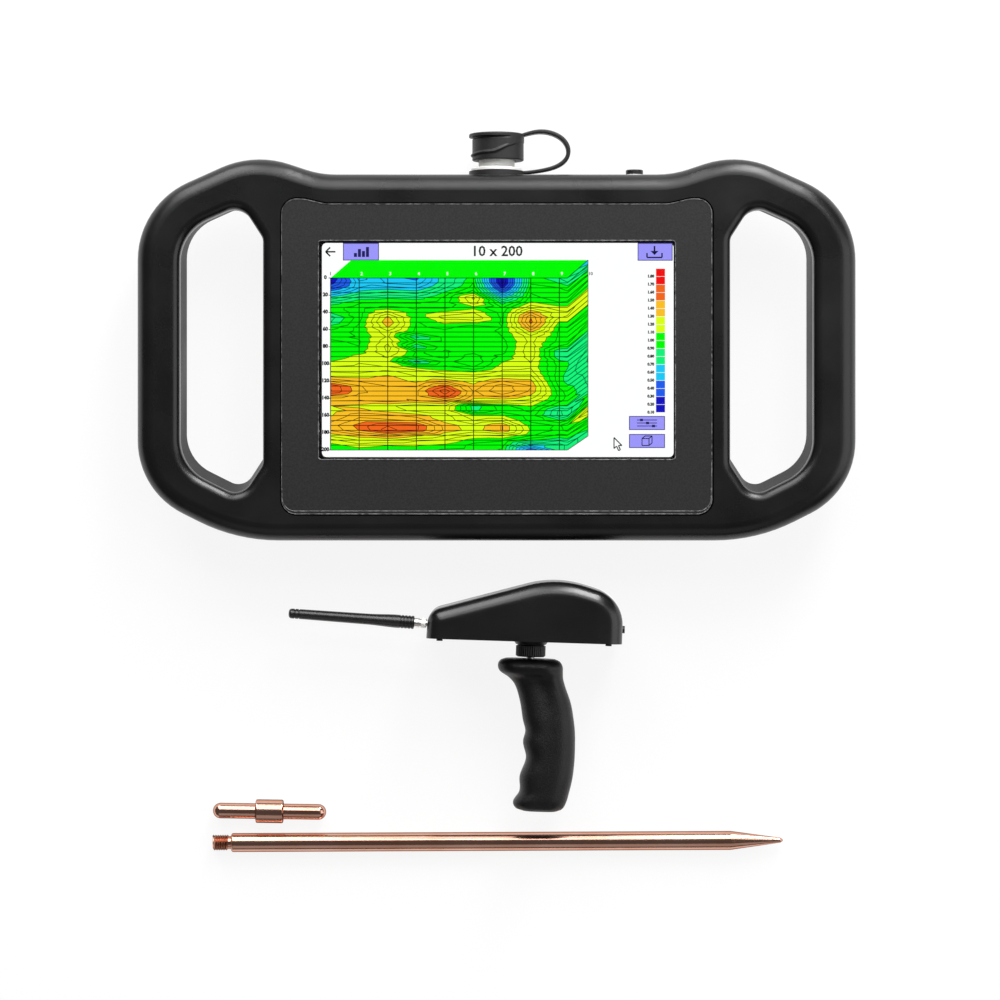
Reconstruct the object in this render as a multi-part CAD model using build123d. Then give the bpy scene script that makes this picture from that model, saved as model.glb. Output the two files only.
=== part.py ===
from build123d import *
import os
from math import cos, radians, sin, tan

# Groundwater detector kit, laid out flat: a display console on its back, a sensing probe on its side,
# a copper ground electrode and its crossbar. Millimetres, +X to the console's right, +Y to its top,
# +Z out of its screen. The origin is the middle of the console's back, on the surface it lies on.

# Console, seen from the front
WINDOW_WIDTH = 217.0
WINDOW_HEIGHT = 132.6
WINDOW_CORNER = 1.8
PANEL_SIDE = 23.0
PANEL_ABOVE = 23.2
PANEL_BELOW = 33.6
PANEL_CORNER = 9.0
EAR_RISE = 3.1
EAR_LENGTH = 13.5
EAR_RUN = 13.0
EAR_ROUND = 20.0
RIB_WIDTH = 11.6
HOLE_WIDTH = 50.9
BAR_WIDTH = 26.4
LOWER_BAR_WIDTH = 25.0
HOLE_APEX_RUN = 13.3
HOLE_CHAMFER_ANGLE = 57.2
HOLE_OUTER_ROUND = 28.0
HOLE_APEX_ROUND = 11.5
HOLE_INNER_ROUND = 7.3
TOP_MARGIN = 19.1
BOTTOM_MARGIN = 16.3
TOP_SHOULDER_DROP = 18.8
BOTTOM_SHOULDER_RISE = 30.4
HUMP_INSET = 71.8
TOP_SLOPE = 24.2
DIP_SLOPE = 18.4
BOTTOM_SLOPE = 26.6
SIDE_TOP_ROUND = 52.5
HUMP_ROUND = 58.0
VALLEY_ROUND = 61.0
BOTTOM_ROUND = 109.0
SIDE_BOTTOM_ROUND = 50.0

# Console, through its depth
CONSOLE_DEPTH = 56.0
HANDLE_DEPTH = 36.0
FRONT_DEPTH = 12.0
FRONT_WALL = 5.0
WALL = 3.0
FRONT_ROUND = 10.5
HOLE_ROUND = 5.5
HOLLOW_ROUND = 4.0
BACK_ROUND = 8.0
HOLE_BACK_ROUND = 2.0
HOLE_NARROWING = 1.7
HOLE_REAR_SHIFT = 4.0
BELLY_STEP = 6.0
BELLY_CORNER = 18.0
BELLY_ROUND = 6.0
SEAL = 0.8
SEAL_INSET = 0.9

# Screen stack
PANEL_THICKNESS = 2.0
PANEL_SINK = 0.2
PANEL_GAP = 0.3
GLASS_THICKNESS = 1.8
GLASS_LAP = 11.5
GLASS_CORNER = 3.0
GLASS_GAP = 0.3
DISPLAY_GAP = 0.3
LCD_LAP_X = 6.3
LCD_LAP_Y = 8.0
LCD_THICKNESS = 4.5
LCD_GAP = 0.5
BRACKET_THICKNESS = 1.0
BRACKET_RIM = 12.0
BRACKET_BOSS_RADIUS = 3.2
BRACKET_BOSS_Y = 45.0
BRACKET_SCREW_LENGTH = 3.4

# Fasteners: shank radius, head radius, head height
SHELL_SCREW = (1.5, 2.8, 2.4)
SMALL_SCREW = (1.0, 2.1, 1.4)
SHELL_SCREW_LENGTH = 13.0
SHELL_SCREW_GRIP = 10.0
SMALL_SCREW_LENGTH = 5.0
BOSS_RADIUS = 4.2
HEAD_ROOM = 0.3
BAR_SCREW_Y = 40.0
APEX_SCREW_STEP = 13.0
MID_SCREW_X = 62.0
SCREW_EDGE = 2.4
FIT = 0.05

# Electronics of the console
STANDOFF_HEIGHT = 8.0
STANDOFF_RADIUS = 3.0
BOARD_SIZE = (170.0, 92.0, 1.6)
BOARD_Y = 18.0
BOARD_SCREW_INSET = 5.0
SHIELD_SIZE = (46.0, 46.0, 3.5)
SHIELD_PLACE = (-42.0, 16.0)
RADIO_SIZE = (30.0, 20.0, 2.8)
RADIO_PLACE = (48.0, 38.0)
BATTERY_SIZE = (150.0, 62.0, 20.0)
BATTERY_MARGIN = 15.2
STRAP_WIDTH = 24.0
STRAP_THICKNESS = 1.2
STRAP_FOOT = 10.0
STRAP_BOSS_HEIGHT = 5.0
RIBBON_WIDTH = 22.0
RIBBON_THICKNESS = 0.4
RIBBON_BEND = 7.0
RIBBON_DISPLAY_Y = 30.0
RIBBON_BOARD_Y = 52.0

# Socket on the top wall, with its cap
SOCKET_Z = 25.0
RING_RADIUS = 17.1
RING_THICKNESS = 3.8
SOCKET_FLANGE_RADIUS = 15.6
SOCKET_FLANGE_THICKNESS = 2.3
SOCKET_BARREL_RADIUS = 11.15
SOCKET_BARREL_LENGTH = 16.0
SOCKET_SPIGOT_RADIUS = 10.0
SOCKET_SPIGOT_LENGTH = 8.0
SOCKET_BORE_RADIUS = 8.8
SOCKET_WELL_DEPTH = 7.0
SOCKET_NUT_RADIUS = 13.5
SOCKET_NUT_THICKNESS = 4.0
CONTACT_RADIUS = 0.9
CONTACT_CIRCLE = 5.4
CONTACT_COUNT = 6
CAP_NECK = 4.4
CAP_RADIUS = 16.0
CAP_HEIGHT = 16.5
CAP_TOP = 3.0
CAP_RIM_HEIGHT = 3.3
CAP_ROUND = 0.75
CAP_CLEARANCE = 0.3
STRAP_LOOP_REACH = 43.9
STRAP_LOOP_RISE = 1.8
STRAP_LOOP_ROUND = 10.6
LOOP_WIDTH = 8.0
LOOP_THICKNESS = 2.1
LOOP_GAP = 0.3

# Power button on the top wall
BUTTON_X = 85.5
BUTTON_RADIUS = 5.35
BUTTON_PROUD = 4.8
BUTTON_LENGTH = 11.8
BUTTON_TRAVEL = 1.5
BUTTON_CLEARANCE = 0.3
BUTTON_CROWN_ROUND = 0.65
BUSH_RADIUS = 6.3
BUSH_FLANGE_RADIUS = 7.0
BUSH_FLANGE_THICKNESS = 3.0
BUSH_DEPTH = 10.5
BUTTON_NUT_RADIUS = 9.0
BUTTON_NUT_THICKNESS = 3.0
SWITCH_LENGTH = 6.0

# Probe head, in the probe's own frame: X to its rear, Y from grip to head, Z across
PROBE_X = 21.3
PROBE_Y = -177.8
PROBE_TURN = 1.8
HEAD_WIDTH = 62.0
HEAD_FRONT = 64.4
HEAD_REAR = 55.5
HEAD_FRONT_HEIGHT = 16.6
HEAD_REAR_HEIGHT = 28.2
HEAD_RISE = 16.3
HEAD_FALL = 15.7
FRONT_LEAN = 2.4
NOSE_ROUND = 10.0
CROWN_ROUND = 64.0
TAIL_ROUND = 22.0
HEAD_EDGE_ROUND = 9.0
HEAD_WALL = 2.5
BASE_THICKNESS = 3.0
BASE_GAP = 0.2
BASE_POST_RADIUS = 3.4
BASE_SCREW_INSET_X = 14.0
BASE_SCREW_INSET_Z = 8.0
FOOT_RADIUS = 1.9
FOOT_HEIGHT = 1.4
FOOT_INSET_X = 8.2
FOOT_INSET_Z = 9.0
PROBE_STANDOFF = 6.5
PROBE_BOARD_SIZE = (82.0, 40.0, 1.6)
PROBE_BOARD_X = -4.0
PROBE_BOARD_SCREW_INSET = 3.0
CELL_SIZE = (34.0, 28.0, 7.0)
CELL_X = -26.0
COIL_X = 16.0
COIL_SIDE = 18.0
COIL_LENGTH = 36.0
COIL_FLANGE = 2.0
COIL_RADIUS = 7.6
COIL_CORE_RADIUS = 3.0
COIL_CORE_PROUD = 3.0
PROBE_BUTTON_Y = 8.1
PROBE_BUTTON_RADIUS = 2.3
PROBE_BUTTON_PROUD = 2.2
PROBE_BUTTON_TRAVEL = 0.8
PROBE_BUTTON_FLANGE = (3.4, 1.0)
PROBE_BUTTON_CLEARANCE = 0.3
PROBE_SWITCH_SIZE = (6.0, 3.2, 7.0)

# Antenna
ANTENNA_Y = 8.1
JACK_RADIUS = 2.2
JACK_FLANGE = (4.0, 1.2)
JACK_PROUD = 6.5
JACK_DEPTH = 6.0
JACK_NUT = (4.4, 2.2)
JACK_PAD = (4.6, 1.0)
COUPLING_START = 1.0
COUPLING_END = 8.6
COUPLING_RADIUS = 2.95
COUPLING_CLEARANCE = 0.1
WHIP_LENGTH = 77.8
WHIP_BASE_RADIUS = 4.1
WHIP_MID_RADIUS = 3.4
WHIP_TIP_RADIUS = 3.1
WHIP_COLLAR = 11.0
WHIP_FLARE = 18.0
WHIP_WIRE_RADIUS = 0.8
WHIP_WIRE_INSET = 6.0

# Mount under the head, and the grip
CONE_RADIUS = 11.3
COLLAR_RADIUS = 9.2
CONE_HEIGHT = 2.8
COLLAR_HEIGHT = 7.3
COLLAR_GAP = 0.3
COLLAR_CLEARANCE = 0.1
BOSS_SPIGOT_RADIUS = 6.0
BOSS_SPIGOT_RISE = 5.0
MOUNT_NUT = (9.0, 4.0)
INSERT_RADIUS = 4.5
STUD_RADIUS = 2.5
STUD_CLEARANCE = 0.06
STUD_SHOW = 1.3
STUD_DEPTH = 18.0
GRIP_THICKNESS = 30.0
GRIP_ROUND = 12.0
GRIP_HEIGHT = 93.6
# Each section: share of the height from the top, front, back, and how far its sides are drawn in
GRIP_SECTIONS = [
    (0.000, -15.5, 15.3, 4.0),
    (0.012, -18.4, 18.0, 1.6),
    (0.043, -20.0, 20.0, 0.0),
    (0.085, -18.6, 20.3, 0.0),
    (0.125, -13.0, 20.6, 0.0),
    (0.175, -9.0, 22.0, 0.5),
    (0.285, -5.6, 25.8, 0.5),
    (0.400, -3.6, 28.0, 0.0),
    (0.475, -1.8, 28.9, 0.0),
    (0.550, -3.0, 29.2, 0.0),
    (0.655, -0.9, 29.2, 0.0),
    (0.775, -4.4, 28.3, 0.0),
    (0.875, -4.3, 26.4, 0.0),
    (0.945, -8.0, 24.6, 0.3),
    (0.985, -6.2, 22.3, 2.2),
    (1.000, -2.0, 19.0, 5.0),
]
CORE_WIDTH = 12.0
CORE_THICKNESS = 14.0
CORE_NECK = 8.0
CORE_SHIFT = 10.5
CORE_END = 13.0

# Copper electrode and crossbar
ROD_LENGTH = 357.0
ROD_RADIUS = 5.9
ROD_POINT = 33.0
ROD_TIP_RADIUS = 1.4
ROD_THREAD_RADIUS = 4.9
ROD_THREAD_LENGTH = 9.6
ROD_NECK_RADIUS = 4.1
ROD_NECK_LENGTH = 1.8
ROD_SHOULDER = 1.0
ROD_END_X = -177.6
ROD_Y = -305.9
ROD_TURN = 0.25
CROSSBAR_LENGTH = 70.8
CROSSBAR_RADIUS = 4.85
CROSSBAR_COLLAR_LENGTH = 17.2
CROSSBAR_COLLAR_RADIUS = 7.35
CROSSBAR_CHAMFER = 0.8
CROSSBAR_HOLE_RADIUS = 4.25
CROSSBAR_HOLE_DEPTH = 10.0
CROSSBAR_X = -142.1
CROSSBAR_Y = -286.1
CROSSBAR_TURN = 0.8

# How far a cut runs past the face that it opens
PAST = 1.0
# How far off a level a feature may lie and still count as on it
TOUCH = 0.01

# Places worked out from the sizes above
PANEL_HALF = WINDOW_WIDTH / 2 + PANEL_SIDE
PANEL_TOP = WINDOW_HEIGHT / 2 + PANEL_ABOVE
PANEL_BOTTOM = WINDOW_HEIGHT / 2 + PANEL_BELOW
HOLE_INNER = PANEL_HALF + RIB_WIDTH
HOLE_OUTER = HOLE_INNER + HOLE_WIDTH
HOLE_APEX = HOLE_INNER + HOLE_APEX_RUN
HALF_WIDTH = HOLE_OUTER + BAR_WIDTH
TOP_EDGE = PANEL_TOP + TOP_MARGIN
BOTTOM_EDGE = PANEL_BOTTOM + BOTTOM_MARGIN
TOP_SHOULDER = TOP_EDGE - TOP_SHOULDER_DROP
BOTTOM_SHOULDER = BOTTOM_EDGE - BOTTOM_SHOULDER_RISE
BELLY_HALF = HOLE_INNER - BELLY_STEP

FRONT_Z = CONSOLE_DEPTH
SEAM_Z = CONSOLE_DEPTH - FRONT_DEPTH
FRONT_SHELL_Z = SEAM_Z + SEAL / 2
REAR_SHELL_Z = SEAM_Z - SEAL / 2
HANDLE_BACK_Z = CONSOLE_DEPTH - HANDLE_DEPTH
FRONT_INNER_Z = FRONT_Z - FRONT_WALL
PANEL_Z = FRONT_Z - PANEL_SINK - PANEL_THICKNESS
GLASS_Z = PANEL_Z - GLASS_THICKNESS
LCD_TOP_Z = GLASS_Z - DISPLAY_GAP
LCD_Z = LCD_TOP_Z - LCD_THICKNESS
BRACKET_Z = LCD_Z - BRACKET_THICKNESS
LCD_WIDTH = WINDOW_WIDTH + 2 * LCD_LAP_X
LCD_HEIGHT = WINDOW_HEIGHT + 2 * LCD_LAP_Y
GLASS_WIDTH = WINDOW_WIDTH + 2 * GLASS_LAP
GLASS_HEIGHT = WINDOW_HEIGHT + 2 * GLASS_LAP
BRACKET_BOSS_X = LCD_WIDTH / 2 + LCD_GAP + BRACKET_BOSS_RADIUS + LCD_GAP
SHELL_SCREW_Z = SEAM_Z - SHELL_SCREW_GRIP
BOARD_Z = WALL + STANDOFF_HEIGHT
BOARD_TOP_Z = BOARD_Z + BOARD_SIZE[2]
BATTERY_TOP_Z = WALL + BATTERY_SIZE[2]
BATTERY_Y = BATTERY_SIZE[1] / 2 + BATTERY_MARGIN - BOTTOM_EDGE
STRAP_BOSS_X = BATTERY_SIZE[0] / 2 + STRAP_THICKNESS + STRAP_FOOT / 2
STRAP_FOOT_Z = WALL + STRAP_BOSS_HEIGHT

RING_TOP = TOP_EDGE + RING_THICKNESS
SOCKET_FLANGE_TOP = RING_TOP + SOCKET_FLANGE_THICKNESS
SOCKET_END = SOCKET_FLANGE_TOP + SOCKET_BARREL_LENGTH
SOCKET_INNER_END = TOP_EDGE - WALL - SOCKET_SPIGOT_LENGTH
CAP_BOTTOM = SOCKET_FLANGE_TOP + CAP_NECK
CAP_END = CAP_BOTTOM + CAP_HEIGHT
BUTTON_END = TOP_EDGE + BUTTON_PROUD - BUTTON_LENGTH
BUSH_END = TOP_EDGE - BUSH_DEPTH

JACK_SEAT = -HEAD_WALL - JACK_PAD[1]
BOARD_LEVEL = BASE_THICKNESS + PROBE_STANDOFF
BOARD_TOP_LEVEL = BOARD_LEVEL + PROBE_BOARD_SIZE[2]
COLLAR_TOP = -CONE_HEIGHT - COLLAR_GAP
COLLAR_BOTTOM = COLLAR_TOP - COLLAR_HEIGHT
GRIP_TOP = COLLAR_BOTTOM - STUD_SHOW
GRIP_BOTTOM = GRIP_TOP - GRIP_HEIGHT
PROBE_PLACE = Pos(PROBE_X, PROBE_Y, HEAD_WIDTH / 2) * Rot(0, 0, -PROBE_TURN)

MIDDLE = (Align.CENTER, Align.CENTER, Align.CENTER)
ON_BASE = (Align.CENTER, Align.CENTER, Align.MIN)


def slope(degrees):
    return tan(radians(degrees))


def both_sides(points):
    return points + [(-x, y) for x, y in reversed(points)]


def rounded_face(points, radii):
    return make_face(FilletPolyline(*points, radius=radii, close=True))


def slab(face, low, high):
    return Pos(0, 0, low) * extrude(face, high - low, dir=(0, 0, 1))


def rectangle_slab(width, height, corner, low, high):
    return slab(RectangleRounded(width, height, corner), low, high)


def pin(radius, start, direction, length):
    return Plane(origin=start, z_dir=direction) * Cylinder(radius, length, align=ON_BASE)


def rising_pin(radius, place, low, high):
    return pin(radius, (*place, low), (0, 0, 1), high - low)


def hexagon(radius, start, direction, length):
    return Plane(origin=start, z_dir=direction) * extrude(RegularPolygon(radius, 6), length)


def standing_box(size, place, low):
    return Pos(place[0], place[1], low) * Box(*size, align=ON_BASE)


def group(solids):
    return Compound([solid for shape in solids for solid in shape.solids()])


def screw(sizes, seat, direction, length):
    shank, head, height = sizes
    back = tuple(-part for part in direction)
    return pin(shank, seat, direction, length) + pin(head, seat, back, height)


def corner_places(half_x, half_y):
    return [(x, y) for x in (-half_x, half_x) for y in (-half_y, half_y)]


def edges_at(shape, level):
    return shape.edges().filter_by_position(Axis.Z, level - TOUCH, level + TOUCH)


# Outlines of the console

def console_face(inset=0.0):
    hump_y = TOP_SHOULDER + HUMP_INSET * slope(TOP_SLOPE)
    hump_x = HALF_WIDTH - HUMP_INSET
    valley_x = hump_x - (hump_y - TOP_EDGE) / slope(DIP_SLOPE)
    bottom_x = HALF_WIDTH - BOTTOM_SHOULDER_RISE / slope(BOTTOM_SLOPE)
    corners = [
        (valley_x, TOP_EDGE),
        (hump_x, hump_y),
        (HALF_WIDTH, TOP_SHOULDER),
        (HALF_WIDTH, -BOTTOM_SHOULDER),
        (bottom_x, -BOTTOM_EDGE),
    ]
    radii = [VALLEY_ROUND, HUMP_ROUND, SIDE_TOP_ROUND, SIDE_BOTTOM_ROUND, BOTTOM_ROUND]
    face = rounded_face(both_sides(corners), radii + radii[::-1])
    return offset(face, -inset) if inset else face


def hole_levels():
    run = HOLE_OUTER - HOLE_APEX
    top = TOP_SHOULDER + BAR_WIDTH * slope(TOP_SLOPE) - BAR_WIDTH / cos(radians(TOP_SLOPE))
    lower_width = LOWER_BAR_WIDTH / cos(radians(BOTTOM_SLOPE))
    bottom = BOTTOM_SHOULDER + BAR_WIDTH * slope(BOTTOM_SLOPE) - lower_width
    return top, top + run * slope(TOP_SLOPE), bottom, bottom + run * slope(BOTTOM_SLOPE)


def hole_face(side, outset=0.0):
    top, top_apex, bottom, bottom_apex = hole_levels()
    drop = HOLE_APEX_RUN * slope(HOLE_CHAMFER_ANGLE)
    corners = [
        (HOLE_INNER, top_apex - drop),
        (HOLE_APEX, top_apex),
        (HOLE_OUTER, top),
        (HOLE_OUTER, -bottom),
        (HOLE_APEX, -bottom_apex),
        (HOLE_INNER, drop - bottom_apex),
    ]
    radii = [HOLE_INNER_ROUND, HOLE_APEX_ROUND, HOLE_OUTER_ROUND]
    face = rounded_face([(side * x, y) for x, y in corners], radii + radii[::-1])
    return offset(face, outset) if outset else face


def hollow_face(hole_wall):
    return console_face(WALL) - hole_face(1, hole_wall) - hole_face(-1, hole_wall)


def belly_face(inset=0.0):
    width = 2 * BELLY_HALF - 2 * inset
    height = TOP_EDGE + BOTTOM_EDGE - 2 * inset
    return Pos(0, (TOP_EDGE - BOTTOM_EDGE) / 2) * RectangleRounded(width, height, BELLY_CORNER - inset)


def panel_face(gap=0.0):
    ear_top = PANEL_HALF - EAR_LENGTH
    corners = [
        (ear_top - EAR_RUN, PANEL_TOP),
        (ear_top, PANEL_TOP + EAR_RISE),
        (PANEL_HALF, PANEL_TOP + EAR_RISE),
        (PANEL_HALF, -PANEL_BOTTOM),
    ]
    radii = [EAR_ROUND, EAR_ROUND, PANEL_CORNER, PANEL_CORNER]
    face = rounded_face(both_sides(corners), radii + radii[::-1])
    return offset(face, gap) if gap else face


def shell_screw_places():
    top_apex, bottom_apex = hole_levels()[1::2]
    bar_x = HALF_WIDTH - BAR_WIDTH / 2
    edge = SCREW_EDGE + BOSS_RADIUS
    right = [
        (bar_x, BAR_SCREW_Y),
        (bar_x, -BAR_SCREW_Y),
        (HOLE_APEX - HOLE_APEX_RUN / 2, top_apex + APEX_SCREW_STEP),
        (HOLE_APEX - HOLE_APEX_RUN / 2, -bottom_apex - APEX_SCREW_STEP),
        (MID_SCREW_X, TOP_EDGE - edge),
        (MID_SCREW_X, edge - BOTTOM_EDGE),
    ]
    return both_sides(right)


def bracket_places():
    return corner_places(BRACKET_BOSS_X, BRACKET_BOSS_Y)


def board_places():
    half_x = BOARD_SIZE[0] / 2 - BOARD_SCREW_INSET
    half_y = BOARD_SIZE[1] / 2 - BOARD_SCREW_INSET
    return [(x, y + BOARD_Y) for x, y in corner_places(half_x, half_y)]


def strap_places():
    return [(-STRAP_BOSS_X, BATTERY_Y), (STRAP_BOSS_X, BATTERY_Y)]


# Console shells

def console_front_shell():
    shell = slab(console_face(), FRONT_SHELL_Z, FRONT_Z)
    shell = shell.fillet(FRONT_ROUND, edges_at(shell, FRONT_Z))
    for side in (1, -1):
        opening = slab(hole_face(side), FRONT_SHELL_Z - PAST, FRONT_Z + PAST)
        shell = shell - opening
        front = shell.faces().sort_by(Axis.Z)[-1]
        rim = [edge for edge in front.inner_wires().edges() if edge.center().X * side > 0]
        shell = shell.fillet(HOLE_ROUND, rim)
    hollow = slab(hollow_face(WALL), FRONT_SHELL_Z - PAST, FRONT_INNER_Z)
    shell = shell - hollow.fillet(HOLLOW_ROUND, edges_at(hollow, FRONT_INNER_Z))
    boss_top = FRONT_INNER_Z + PAST
    for place in shell_screw_places():
        shell = shell + rising_pin(BOSS_RADIUS, place, FRONT_SHELL_Z, boss_top)
    for place in bracket_places():
        shell = shell + rising_pin(BRACKET_BOSS_RADIUS, place, LCD_Z, boss_top)
    shell = shell - slab(panel_face(PANEL_GAP), PANEL_Z, FRONT_Z + PAST)
    glass_room = (GLASS_WIDTH + 2 * GLASS_GAP, GLASS_HEIGHT + 2 * GLASS_GAP)
    shell = shell - rectangle_slab(*glass_room, GLASS_CORNER, GLASS_Z, FRONT_Z)
    lcd_room = (LCD_WIDTH + 2 * LCD_GAP, LCD_HEIGHT + 2 * LCD_GAP)
    shell = shell - standing_box((*lcd_room, FRONT_WALL), (0, 0), FRONT_INNER_Z - PAST)
    screw_end = SHELL_SCREW_Z + SHELL_SCREW_LENGTH + FIT
    for place in shell_screw_places():
        shell = shell - rising_pin(SHELL_SCREW[0] + FIT, place, SHELL_SCREW_Z, screw_end)
    bracket_screw_end = BRACKET_Z + BRACKET_SCREW_LENGTH + FIT
    for place in bracket_places():
        shell = shell - rising_pin(SMALL_SCREW[0] + FIT, place, BRACKET_Z, bracket_screw_end)
    return shell


def console_rear_shell():
    bars = slab(console_face(), HANDLE_BACK_Z, REAR_SHELL_Z)
    bars = bars.fillet(BACK_ROUND, edges_at(bars, HANDLE_BACK_Z))
    for side in (1, -1):
        bars = bars - hole_through_rear(side)
        back = bars.faces().sort_by(Axis.Z)[0]
        rim = [edge for edge in back.inner_wires().edges() if edge.center().X * side > 0]
        bars = bars.fillet(HOLE_BACK_ROUND, rim)
    belly = slab(belly_face(), 0, REAR_SHELL_Z)
    belly = belly.fillet(BELLY_ROUND, edges_at(belly, 0))
    rear_hollow_face = hollow_face(WALL + HOLE_REAR_SHIFT - HOLE_NARROWING)
    hollow = slab(rear_hollow_face, HANDLE_BACK_Z + WALL, REAR_SHELL_Z + PAST)
    hollow = hollow.fillet(HOLLOW_ROUND, edges_at(hollow, HANDLE_BACK_Z + WALL))
    belly_hollow = slab(belly_face(WALL), WALL, REAR_SHELL_Z + PAST)
    belly_hollow = belly_hollow.fillet(BELLY_ROUND - WALL, edges_at(belly_hollow, WALL))
    shell = bars + belly - hollow - belly_hollow
    for place in shell_screw_places():
        foot = WALL / 2 if abs(place[0]) < BELLY_HALF else HANDLE_BACK_Z + WALL / 2
        shell = shell + rising_pin(BOSS_RADIUS, place, foot, REAR_SHELL_Z)
    for place in board_places():
        shell = shell + rising_pin(STANDOFF_RADIUS, place, WALL / 2, BOARD_Z)
    for place in strap_places():
        shell = shell + rising_pin(STANDOFF_RADIUS, place, WALL / 2, STRAP_FOOT_Z)
    for place in shell_screw_places():
        shell = shell - rising_pin(SHELL_SCREW[0] + FIT, place, SHELL_SCREW_Z - PAST, SEAM_Z)
        shell = shell - rising_pin(SHELL_SCREW[1] + HEAD_ROOM, place, -PAST, SHELL_SCREW_Z)
    for place in board_places():
        shell = shell - small_screw_hole(place, BOARD_TOP_Z)
    for place in strap_places():
        shell = shell - small_screw_hole(place, STRAP_FOOT_Z + STRAP_THICKNESS)
    wall_inside = TOP_EDGE - WALL - PAST
    shell = shell - along_socket(SOCKET_SPIGOT_RADIUS + FIT, wall_inside, TOP_EDGE + PAST)
    return shell - along_socket(BUSH_RADIUS + FIT, wall_inside, TOP_EDGE + PAST, BUTTON_X)


def hole_through_rear(side):
    # Behind the seam the opening narrows, and slants towards the console's top
    back = Pos(0, HOLE_REAR_SHIFT, HANDLE_BACK_Z) * hole_face(side, -HOLE_NARROWING)
    seam = Pos(0, 0, REAR_SHELL_Z) * hole_face(side)
    return loft([back, seam], ruled=True)


def small_screw_hole(place, seat):
    return rising_pin(SMALL_SCREW[0] + FIT, place, seat - SMALL_SCREW_LENGTH - FIT, seat)


def shell_gasket():
    outer = console_face(SEAL_INSET) - console_face(WALL)
    rings = [outer]
    for side in (1, -1):
        rings.append(hole_face(side, WALL) - hole_face(side, SEAL_INSET))
    return group([slab(ring, REAR_SHELL_Z, FRONT_SHELL_Z) for ring in rings])


def shell_screws():
    seats = [(*place, SHELL_SCREW_Z) for place in shell_screw_places()]
    return group([screw(SHELL_SCREW, seat, (0, 0, 1), SHELL_SCREW_LENGTH) for seat in seats])


# Screen stack

def bezel_panel():
    plate = slab(panel_face(), PANEL_Z, PANEL_Z + PANEL_THICKNESS)
    window = (WINDOW_WIDTH, WINDOW_HEIGHT, WINDOW_CORNER)
    return plate - rectangle_slab(*window, PANEL_Z - PAST, FRONT_Z + PAST)


def touch_glass():
    return rectangle_slab(GLASS_WIDTH, GLASS_HEIGHT, GLASS_CORNER, GLASS_Z, PANEL_Z)


def lcd_panel():
    return standing_box((LCD_WIDTH, LCD_HEIGHT, LCD_THICKNESS), (0, 0), LCD_Z)


def lcd_bracket():
    frame = standing_box((LCD_WIDTH, LCD_HEIGHT, BRACKET_THICKNESS), (0, 0), BRACKET_Z)
    opening = (LCD_WIDTH - 2 * BRACKET_RIM, LCD_HEIGHT - 2 * BRACKET_RIM, FRONT_WALL)
    frame = frame - standing_box(opening, (0, 0), BRACKET_Z - PAST)
    lug_length = BRACKET_BOSS_X - LCD_WIDTH / 2 + BRACKET_RIM
    lug_size = (lug_length, 2 * BRACKET_BOSS_RADIUS, BRACKET_THICKNESS)
    for x, y in bracket_places():
        inward = x - lug_length / 2 * (1 if x > 0 else -1)
        frame = frame + standing_box(lug_size, (inward, y), BRACKET_Z)
        frame = frame + rising_pin(BRACKET_BOSS_RADIUS, (x, y), BRACKET_Z, LCD_Z)
    for place in bracket_places():
        frame = frame - rising_pin(SMALL_SCREW[0] + FIT, place, BRACKET_Z - PAST, LCD_Z + PAST)
    return frame


def bracket_screws():
    seats = [(*place, BRACKET_Z) for place in bracket_places()]
    return group([screw(SMALL_SCREW, seat, (0, 0, 1), BRACKET_SCREW_LENGTH) for seat in seats])


# Electronics of the console

def main_board():
    board = standing_box(BOARD_SIZE, (0, BOARD_Y), BOARD_Z)
    for place in board_places():
        board = board - rising_pin(SMALL_SCREW[0] + FIT, place, BOARD_Z - PAST, BOARD_TOP_Z + PAST)
    return board


def board_screws():
    seats = [(*place, BOARD_TOP_Z) for place in board_places()]
    return group([screw(SMALL_SCREW, seat, (0, 0, -1), SMALL_SCREW_LENGTH) for seat in seats])


def processor_shield():
    return standing_box(SHIELD_SIZE, SHIELD_PLACE, BOARD_TOP_Z)


def radio_module():
    return standing_box(RADIO_SIZE, RADIO_PLACE, BOARD_TOP_Z)


def display_ribbon():
    middle_z = (LCD_Z + BOARD_TOP_Z) / 2
    points = [
        (RIBBON_DISPLAY_Y, LCD_Z),
        (RIBBON_DISPLAY_Y, middle_z),
        (RIBBON_BOARD_Y, middle_z),
        (RIBBON_BOARD_Y, BOARD_TOP_Z),
    ]
    path = Plane.YZ * FilletPolyline(*points, radius=RIBBON_BEND)
    start = Plane(origin=path @ 0, z_dir=path % 0, x_dir=(1, 0, 0))
    return sweep(start * Rectangle(RIBBON_WIDTH, RIBBON_THICKNESS), path)


def battery_pack():
    return standing_box(BATTERY_SIZE, (0, BATTERY_Y), WALL)


def battery_bracket():
    length = BATTERY_SIZE[0] + 2 * STRAP_THICKNESS
    strap = standing_box((length, STRAP_WIDTH, STRAP_THICKNESS), (0, BATTERY_Y), BATTERY_TOP_Z)
    leg_size = (STRAP_THICKNESS, STRAP_WIDTH, BATTERY_TOP_Z - STRAP_FOOT_Z)
    foot_size = (STRAP_FOOT, STRAP_WIDTH, STRAP_THICKNESS)
    for side in (1, -1):
        leg_x = side * (BATTERY_SIZE[0] + STRAP_THICKNESS) / 2
        strap = strap + standing_box(leg_size, (leg_x, BATTERY_Y), STRAP_FOOT_Z)
        strap = strap + standing_box(foot_size, (side * STRAP_BOSS_X, BATTERY_Y), STRAP_FOOT_Z)
    for place in strap_places():
        strap = strap - small_screw_hole(place, STRAP_FOOT_Z + STRAP_THICKNESS)
    return strap


def battery_screws():
    seats = [(*place, STRAP_FOOT_Z + STRAP_THICKNESS) for place in strap_places()]
    return group([screw(SMALL_SCREW, seat, (0, 0, -1), SMALL_SCREW_LENGTH) for seat in seats])


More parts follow.
